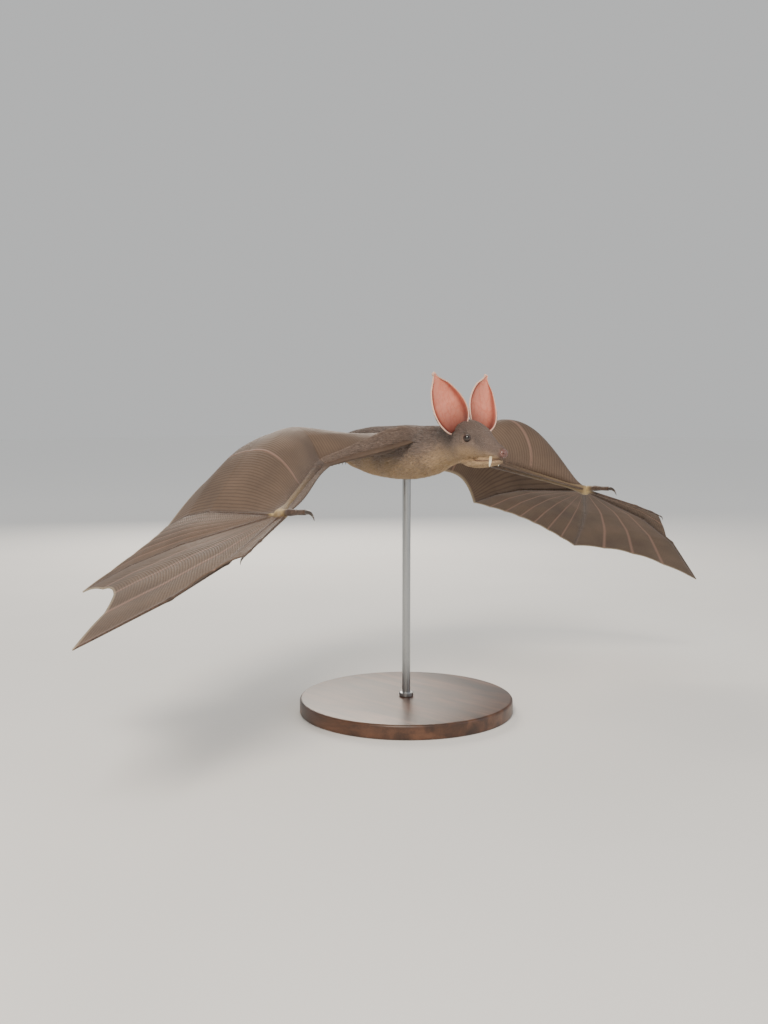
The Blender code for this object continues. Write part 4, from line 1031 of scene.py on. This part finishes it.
def arm_panel(side):
    """Membrane between arm, fifth finger, leg and flank: a Coons patch over those four edges, billowed up."""
    wrist = side_of(WRIST, side)
    lead_line = np.array([side_of(FLANK[0], side), side_of(ELBOW, side), wrist, finger_joints(side, 5)[0]])
    flank = side_of(np.array([*FLANK, HIP, KNEE, ANKLE]), side)
    bone = np.linalg.norm(np.diff(lead_line, axis=0), axis=1)
    elbow_at = bone[0] / bone.sum()
    u = np.concatenate([np.linspace(0, elbow_at, 56)[:-1], np.linspace(elbow_at, 1, 84)])
    v = np.linspace(0, 1, 96) ** 1.12
    lead, tip = along(lead_line, u), finger_joints(side, 5)[-1]
    bow = np.sin(math.pi * u ** TRAILING_SKEW[side])
    ankle = side_of(ANKLE, side)
    trail = ankle + u[:, None] * (tip - ankle)
    trail += np.stack([0 * u, -TRAILING_SCALLOP * bow, TRAILING_RISE[side] * bow], -1)
    inner, outer = along(flank, v), along(finger_joints(side, 5), v)
    uu, vv = (x[..., None] for x in np.meshgrid(u, v, indexing="ij"))
    grid = (1 - vv) * lead[:, None] + vv * trail[:, None] + (1 - uu) * inner[None] + uu * outer[None]
    grid -= (1 - uu) * (1 - vv) * lead[0] + uu * (1 - vv) * lead[-1]
    grid -= (1 - uu) * vv * trail[0] + uu * vv * trail[-1]
    lift = np.sin(math.pi * uu ** BILLOW_SKEW[side]) * np.sin(math.pi * vv ** CAMBER_SKEW[side])
    grid += ARM_BILLOW[side] * lift * UP
    rim = (1 - vv[..., 0]) * ARM_DEPTH
    place = straightened(grid, u, v)
    ray = np.clip(np.abs(place - 0.72) * 9.0, 0, 0.5)
    return web(side, grid, rim, place * bone.sum() / MUSCLE_SPACING, ray)


def narrow_panel(side, bones, ends, u, rows, hollow, stripes=None, dark_rim=0.0):
    """A narrow membrane from a bent line of bones to a straight free edge, which is drawn in by hollow of the
    gap at its middle. With no stripes it has neither muscle lines nor cords."""
    v = np.linspace(0, 1, rows)
    near, edge = along(side_of(bones, side), u), along(side_of(ends, side), u)
    edge += (hollow * np.sin(math.pi * u))[:, None] * (near - edge)
    grid = near[:, None] + v[None, :, None] * (edge - near)[:, None]
    rim = (1 - v)[None] * np.linalg.norm(edge - near, axis=1)[:, None]
    stripe = np.full(rim.shape, 0.5) if stripes is None else np.repeat(u[:, None] * stripes, rows, 1)
    return web(side, grid, rim, stripe, np.full(rim.shape, 0.5), dark_rim)


def leading_panel(side):
    """The small membrane before the elbow, from the shoulder to the wrist, with a hollow free edge."""
    elbow_at = UPPER_ARM / (UPPER_ARM + FOREARM)
    u = np.concatenate([np.linspace(0, elbow_at, 40)[:-1], np.linspace(elbow_at, 1, 60)])
    ends = [(22.0, -20.0, 66.0), WRIST + WRIST_FRONT * AHEAD]
    return narrow_panel(side, [SHOULDER, ELBOW, WRIST], ends, u, 30, LEADING_SCALLOP, dark_rim=4.0)


def leg_panel(side):
    """The narrow membrane along the inside of the leg, from the rump to the ankle."""
    ends = [(4.0, 101.0, 58.5), (45.5, 140.0, 48.0)]
    return narrow_panel(side, [HIP, KNEE, ANKLE], ends, np.linspace(0, 1, 70), 26, 0.42, stripes=16)


def covered(path, radii, around=24, flat=1.0, **values):
    """A bone or sinew under skin: a closed tube with the values its material reads."""
    shell = closed(tube(path, radii, around, flat))
    base = {"rim": 50.0, "stripe": 0.5, "ray": 0.5, "bone": 1.0, "wrist": 0.0} | values
    full = {}
    for key, value in base.items():
        each = np.repeat(np.broadcast_to(value, len(path)), around)
        full[key] = np.concatenate([each, [each[0], each[-1]]])
    return shell, full


def forearm_tube(side):
    """The forearm with the wrist's knot of small bones at its end."""
    t = np.linspace(0, 1.05, 150)
    elbow, wrist = side_of(ELBOW, side), side_of(WRIST, side)
    # Tan wrist spot, and a painted highlight: tan rising along the forearm towards the wrist
    near = np.maximum(bell((t - 1.0) * FOREARM, 4.5), 0.32 * step_up(0.1, 0.95, t))
    radii = bone_radius("forearm", t) * np.sqrt(np.clip(1 - (t / 1.052) ** 60, 0.01, 1))
    return covered(elbow + t[:, None] * (wrist - elbow), radii, 36, 0.92, wrist=near)


def averaged(path, weights):
    """Each point of a path as the weighted mean of its neighbours, the ends carried straight on."""
    reach = len(weights) // 2
    longer = np.pad(path, ((reach, reach), (0, 0)), mode="reflect", reflect_type="odd")
    return np.stack([np.convolve(c, weights / weights.sum(), "valid") for c in longer.T], axis=-1)


def finger_tube(side, digit):
    """One finger: slim bones, each joint a small swelling, down to a fine tip."""
    t = np.linspace(0, 1, 200)
    path = along(finger_joints(side, digit), t)
    path = averaged(path, bell(np.arange(-6, 7), 3.0))
    radii = bone_radius(digit, t) * np.sqrt(np.clip(1 - t**40, 0.02, 1))
    near = bell(t * sum(FINGER_BONES[digit]), 4.5)
    return covered(path, radii, 18, 1.0, wrist=near)


def thumb_joints(side):
    """Joints of the thumb, from its root on the wrist's knot to the claw's root."""
    return side_of(chain(WRIST + THUMB_ROOT, THUMB_BONES, *THUMB_POSE[side], -6, 4), side)


def thumb_tube(side):
    """The thumb: two bones, thick at the wrist, with a pad under the joint."""
    t = np.linspace(0, 1, 60)
    radii = np.interp(t, [0, 0.2, 0.3, 0.6, 0.9, 1.0], [3.3, 2.7, 3.0, 2.2, 2.3, 1.7])
    radii = radii * np.sqrt(np.clip(1 - t**30, 0.2, 1))
    near = bell(t * 34, 4.5)
    return covered(along(thumb_joints(side), t), radii, 22, wrist=near)


# Wing skin: thin, dry and leathery, so light glows through. Fine muscle lines cross it every few mm, and
# pinkish elastic cords fan out from the wrist. It is pale at the free edge and tan at the wrist; the bones'
# skin is dark brown, painted shade darkens a band of membrane beside each bone, and a painted tan highlight
# runs along the forearm.
wing_skin, tree, shader = finish(
    "wing_membrane", {"Roughness": 0.55, "Specular IOR Level": 0.35, "Sheen Weight": 0.1}
)
rim, stripe, ray, bone, wrist = (
    add(tree, "Attribute", out="Fac", attribute_name=name)
    for name in ("rim", "stripe", "ray", "bone", "wrist")
)
place = add(tree, "TexCoord", out="Object")
blotch = add(tree, "TexNoise", {"Vector": place, "Scale": per(38), "Detail": 5.0})
wrinkle = add(tree, "TexNoise", {"Vector": place, "Scale": per(2.2), "Detail": 4.0})
wander = add(tree, "TexNoise", {"Vector": place, "Scale": per(30)})
muscle = add(tree, "Math", {0: wander, 1: 0.8, 2: stripe}, operation="MULTIPLY_ADD")
muscle = add(tree, "Math", {0: muscle, 1: 0.5}, operation="PINGPONG")
muscle = add(tree, "MapRange", {0: muscle, 1: 0.0, 2: 0.3, 3: 1.0, 4: 0.0}, interpolation_type="SMOOTHSTEP")
cord = add(tree, "Math", {0: ray, 1: 0.5}, operation="PINGPONG")
cord = add(tree, "MapRange", {0: cord, 1: 0.0, 2: 0.09, 3: 1.0, 4: 0.0}, interpolation_type="SMOOTHSTEP")
tone = add(tree, "ValToRGB", {"Fac": blotch}, [(0.2, "6b5a4d"), (0.8, "8c7664")])
# dark brown of the bones' skin, also used as painted shade beside them
bone_tone_and_shade = add(tree, "ValToRGB", {"Fac": wrinkle}, [(0.3, "33271f"), (0.7, "584437")])
darker = add(tree, "Math", {0: muscle, 1: 0.45}, operation="MULTIPLY")
pinker = add(tree, "Math", {0: cord, 1: 0.55}, operation="MULTIPLY")
edge = add(tree, "MapRange", {0: rim, 1: 0.6, 2: 3.2, 3: 0.85, 4: 0.0})
layers = [(darker, linear("4c3c33")), (pinker, linear("bb9586")), (bone, bone_tone_and_shade)]
for share, colour in layers + [(wrist, linear("ab9468")), (edge, linear("c4b49b"))]:
    tone = add(tree, "Mix", {0: share, 6: tone, 7: colour}, **BLEND)
relief = add(tree, "Math", {0: muscle, 1: 0.6, 2: wrinkle}, operation="MULTIPLY_ADD")
relief = add(tree, "Math", {0: cord, 1: 1.2, 2: relief}, operation="MULTIPLY_ADD")
bump = add(tree, "Bump", {"Height": relief, "Strength": 0.6, "Distance": 0.35 * MM})
plug(shader, {"Base Color": tone, "Normal": bump})
through = add(tree, "BsdfTranslucent", {"Color": tone, "Normal": bump})
thin = add(tree, "MapRange", {"Value": bone, 3: 0.42, 4: 0.0})
both = add(tree, "MixShader", {0: thin, 1: shader.outputs[0], 2: through})
plug(tree.nodes["Material Output"], {"Surface": both})


def skin_piece(name, parts, nodes):
    """Several covered parts as one skin that stands for the given nodes."""
    shell = joined([part[0] for part in parts])
    values = {key: np.concatenate([part[1][key] for part in parts]) for key in parts[0][1]}
    made = build(name, *shell, wing_skin, values)
    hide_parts(*nodes)


for side in "LR":
    parts = [arm_panel(side), leading_panel(side), hand_panel(side, 2, 3, 0.0, INDEX_REACH, (70, 31))]
    parts += [hand_panel(side, 3, 4, SCALLOP[side]["3_4"]), hand_panel(side, 4, 5, SCALLOP[side]["4_5"])]
    parts += [forearm_tube(side), thumb_tube(side)] + [finger_tube(side, digit) for digit in FINGER_BONES]
    nodes = ["plagiopatagium", "propatagium", "wing_panel_2_3", "wing_panel_3_4", "wing_panel_4_5"]
    nodes += ["forearm", "thumb"] + [f"digit{digit}" for digit in FINGER_BONES]
    skin_piece(f"wing_skin_{side}", parts, [f"{node}_{side}" for node in nodes])

# ---- Legs and feet -----------------------------------------------------------------------------------
# Thin bare shanks in the wings' skin, a narrow membrane on their inner side, and the long-toed feet that the
# animal hangs by, here trailing behind it. Sole and toes are tubes let into one another.

TOE_ROOT, TOE_LENGTH = np.array([50.0, 151.0, 46.0]), 12.0
SHANK_RADII = [(0, 4.8), (0.1, 4.6), (0.4, 3.6), (0.8, 2.5), (0.95, 2.8), (1.04, 2.7)]
SOLE_RADII = [(0, 2.8), (0.35, 3.2), (0.7, 4.0), (1.0, 4.1), (1.18, 2.0)]


def foot_axes(side):
    """The foot's start, its ball, and its directions backwards, across and down."""
    ankle, ball = side_of(ANKLE, side), side_of(TOE_ROOT, side)
    back = unit(ball - ankle)
    across = unit(np.cross(back, UP))
    down = np.cross(across, back)
    return ankle, ball, back, across, -np.sign(down[2]) * down


def shank_tube(side):
    """From the knee to the ankle: a slim calf that narrows and swells again at the joint."""
    t = np.linspace(0, 1.04, 80)
    knee, ankle = side_of(KNEE, side), side_of(ANKLE, side)
    return covered(knee + t[:, None] * (ankle - knee), swept(SHANK_RADII, t), 26)


def toe_line(side, toe, t):
    """A toe's middle line: forward from the ball, fanning out, and turning down towards its claw."""
    _, ball, back, across, down = foot_axes(side)
    offset = (toe - 2) / 2
    heading = unit(back + across * offset * 0.28)
    start = ball + across * offset * 3.2 - back
    reach = np.interp(t, [0, 0.45, 0.6, 0.8, 1.0], [0, 0.85, 1.1, 1.35, 1.52])
    drop = np.interp(t, [0, 0.45, 0.6, 0.8, 1.0], [0, 0, 1.2, 3.8, 6.6])
    line = start + (reach * TOE_LENGTH)[:, None] * heading + drop[:, None] * down
    return averaged(line, np.ones(9))


def foot_parts(side):
    """The sole and five toes, each with two faint joints."""
    ankle, ball, *_ = foot_axes(side)
    t = np.linspace(0, 1.18, 50)
    parts = [covered(ankle + t[:, None] * (ball - ankle), swept(SOLE_RADII, t), 26, 0.8)]
    t = np.linspace(0, 1, 61)
    for toe in range(5):
        line = toe_line(side, toe, t)[:40]
        radii = np.linspace(1.5, 1.05, 40) * (1 + 0.16 * bell(t[:40] - 0.3, 0.04))
        radii[-4:] *= [0.97, 0.9, 0.75, 0.4]
        parts.append(covered(line, radii, 16))
    return parts


for side in "LR":
    parts = [leg_panel(side), shank_tube(side)] + foot_parts(side)
    skin_piece(f"leg_skin_{side}", parts, [f"uropatagium_{side}", f"shank_{side}", f"foot_{side}"])

# ---- Claws -------------------------------------------------------------------------------------------
# Curved horn claws on thumb, index finger and toes: near black, smooth and slightly ridged. Each starts a
# little inside its finger or toe, so that it grows out of the skin without a gap.

THUMB_CLAW, INDEX_CLAW = 12.0, 6.0
horn, tree, shader = finish("claw_horn", {"Roughness": 0.28, "Coat Weight": 0.4, "Coat Roughness": 0.2})
place = add(tree, "TexCoord", out="Object")
ridges = add(tree, "TexNoise", {"Vector": place, "Scale": per(0.8), "Detail": 3.0})
tone = add(tree, "ValToRGB", {"Fac": ridges}, [(0.3, "1a1512"), (0.75, "4a3d33")])
bump = add(tree, "Bump", {"Height": ridges, "Strength": 0.25, "Distance": 0.1 * MM})
plug(shader, {"Base Color": tone, "Normal": bump})


def hooked_claw(root, forward, length, radius):
    """A quarter turn of a shrinking hook that starts along forward and bends down, taller than it is wide."""
    t = np.linspace(-0.12, 1, 44)
    bend = np.clip(t, 0, None) * math.radians(75)
    down = unit(-UP - forward * (-UP @ forward))
    reach = length * np.where(t < 0, t, np.sin(bend) / math.radians(75))
    drop = length * (1 - np.cos(bend)) / math.radians(75)
    path = root + reach[:, None] * forward + drop[:, None] * down
    return closed(tube(path, radius * (1 - 0.93 * np.clip(t, 0, 1) ** 1.2) * 0.95, 18, 1.1))


for side in "LR":
    joints = thumb_joints(side)
    hook = hooked_claw(joints[-1], unit(joints[-1] - joints[-2]), THUMB_CLAW, 1.75)
    claw = build(f"thumb_claw_horn_{side}", *hook, horn)
    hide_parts(f"thumb_claw_{side}")
    joints = finger_joints(side, 2)
    hook = hooked_claw(joints[-1], unit(joints[-1] - joints[-2]), INDEX_CLAW, 0.8)
    claw = build(f"index_claw_horn_{side}", *hook, horn)
    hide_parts(f"digit2_claw_{side}")
    t = np.linspace(0, 1, 61)
    toes = [closed(tube(toe_line(side, toe, t)[36:], np.linspace(1.02, 0.18, 25), 14)) for toe in range(5)]
    claws = build(f"toe_claws_{side}", *joined(toes), horn)

# ---- Floor, light and camera -------------------------------------------------------------------------
# A pale floor under a pale sky of soft light, a large key lamp ahead and above, a weaker one on the other
# side, and one from behind that shines through the wings.

backdrop, tree, shader = finish("pale_floor", {"Roughness": 0.9, "Specular IOR Level": 0.1})
place = add(tree, "TexCoord", out="Object")
mottle = add(tree, "TexNoise", {"Vector": place, "Scale": per(333.0), "Detail": 2.0})
tone = add(tree, "ValToRGB", {"Fac": mottle}, [(0.3, "e2e2e0"), (0.7, "e6e6e4")])
away = add(tree, "VectorMath", {0: place}, out="Value", operation="LENGTH")
away = add(tree, "MapRange", {"Value": away, 1: 0.7, 2: 3.0}, interpolation_type="SMOOTHSTEP")
plug(shader, {"Base Color": add(tree, "Mix", {0: away, 6: tone, 7: linear("fdfdfc")}, **BLEND)})
half_room = 12.0
corners = [(half_room * x, half_room * y, 0) for x, y in ((-1, -1), (1, -1), (1, 1), (-1, 1))]
mesh = bpy.data.meshes.new("floor")
mesh.from_pydata(corners, [], [(0, 1, 2, 3)])
mesh.materials.append(backdrop)
floor = bpy.data.objects.new("floor", mesh)
bpy.context.scene.collection.objects.link(floor)

world = bpy.data.worlds.new("studio")
bpy.context.scene.world = world
world.use_nodes = True
world.node_tree.nodes["Background"].inputs["Color"].default_value = linear("dcdddd")
world.node_tree.nodes["Background"].inputs["Strength"].default_value = 0.82


def lamp(name, place, aim, size, power, colour):
    """A square soft light at place, turned to face aim."""
    data = bpy.data.lights.new(name, "AREA")
    data.size, data.energy, data.color = size, power, linear(colour)[:3]
    made = bpy.data.objects.new(name, data)
    bpy.context.scene.collection.objects.link(made)
    made.location = place
    made.rotation_euler = (Vector(aim) - Vector(place)).to_track_quat("-Z", "Y").to_euler()


middle = (0.0, 0.0, 0.22)
lamp("key", (-1.3, -0.9, 1.5), middle, 0.7, 44.0, "fff2e2")
lamp("fill", (0.9, -1.5, 0.8), middle, 1.2, 5.0, "eef3ff")
lamp("rim", (0.9, 1.3, 1.0), middle, 0.8, 20.0, "fff3e4")

VIEW_AZIMUTH, VIEW_ELEVATION, VIEW_DISTANCE = math.radians(-45.0), math.radians(5.0), 1.032
VIEW_TARGET = (-0.043, -0.012, 0.200)
lens = bpy.data.cameras.new("camera")
lens.sensor_width, lens.lens = 36.0, 38.6
lens.clip_start = 0.05
camera = bpy.data.objects.new("camera", lens)
bpy.context.scene.collection.objects.link(camera)
back = Vector((
    math.sin(VIEW_AZIMUTH) * math.cos(VIEW_ELEVATION), -math.cos(VIEW_AZIMUTH) * math.cos(VIEW_ELEVATION),
    math.sin(VIEW_ELEVATION),
))
camera.location = Vector(VIEW_TARGET) + back * VIEW_DISTANCE
camera.rotation_euler = back.to_track_quat("Z", "Y").to_euler()
bpy.context.scene.camera = camera
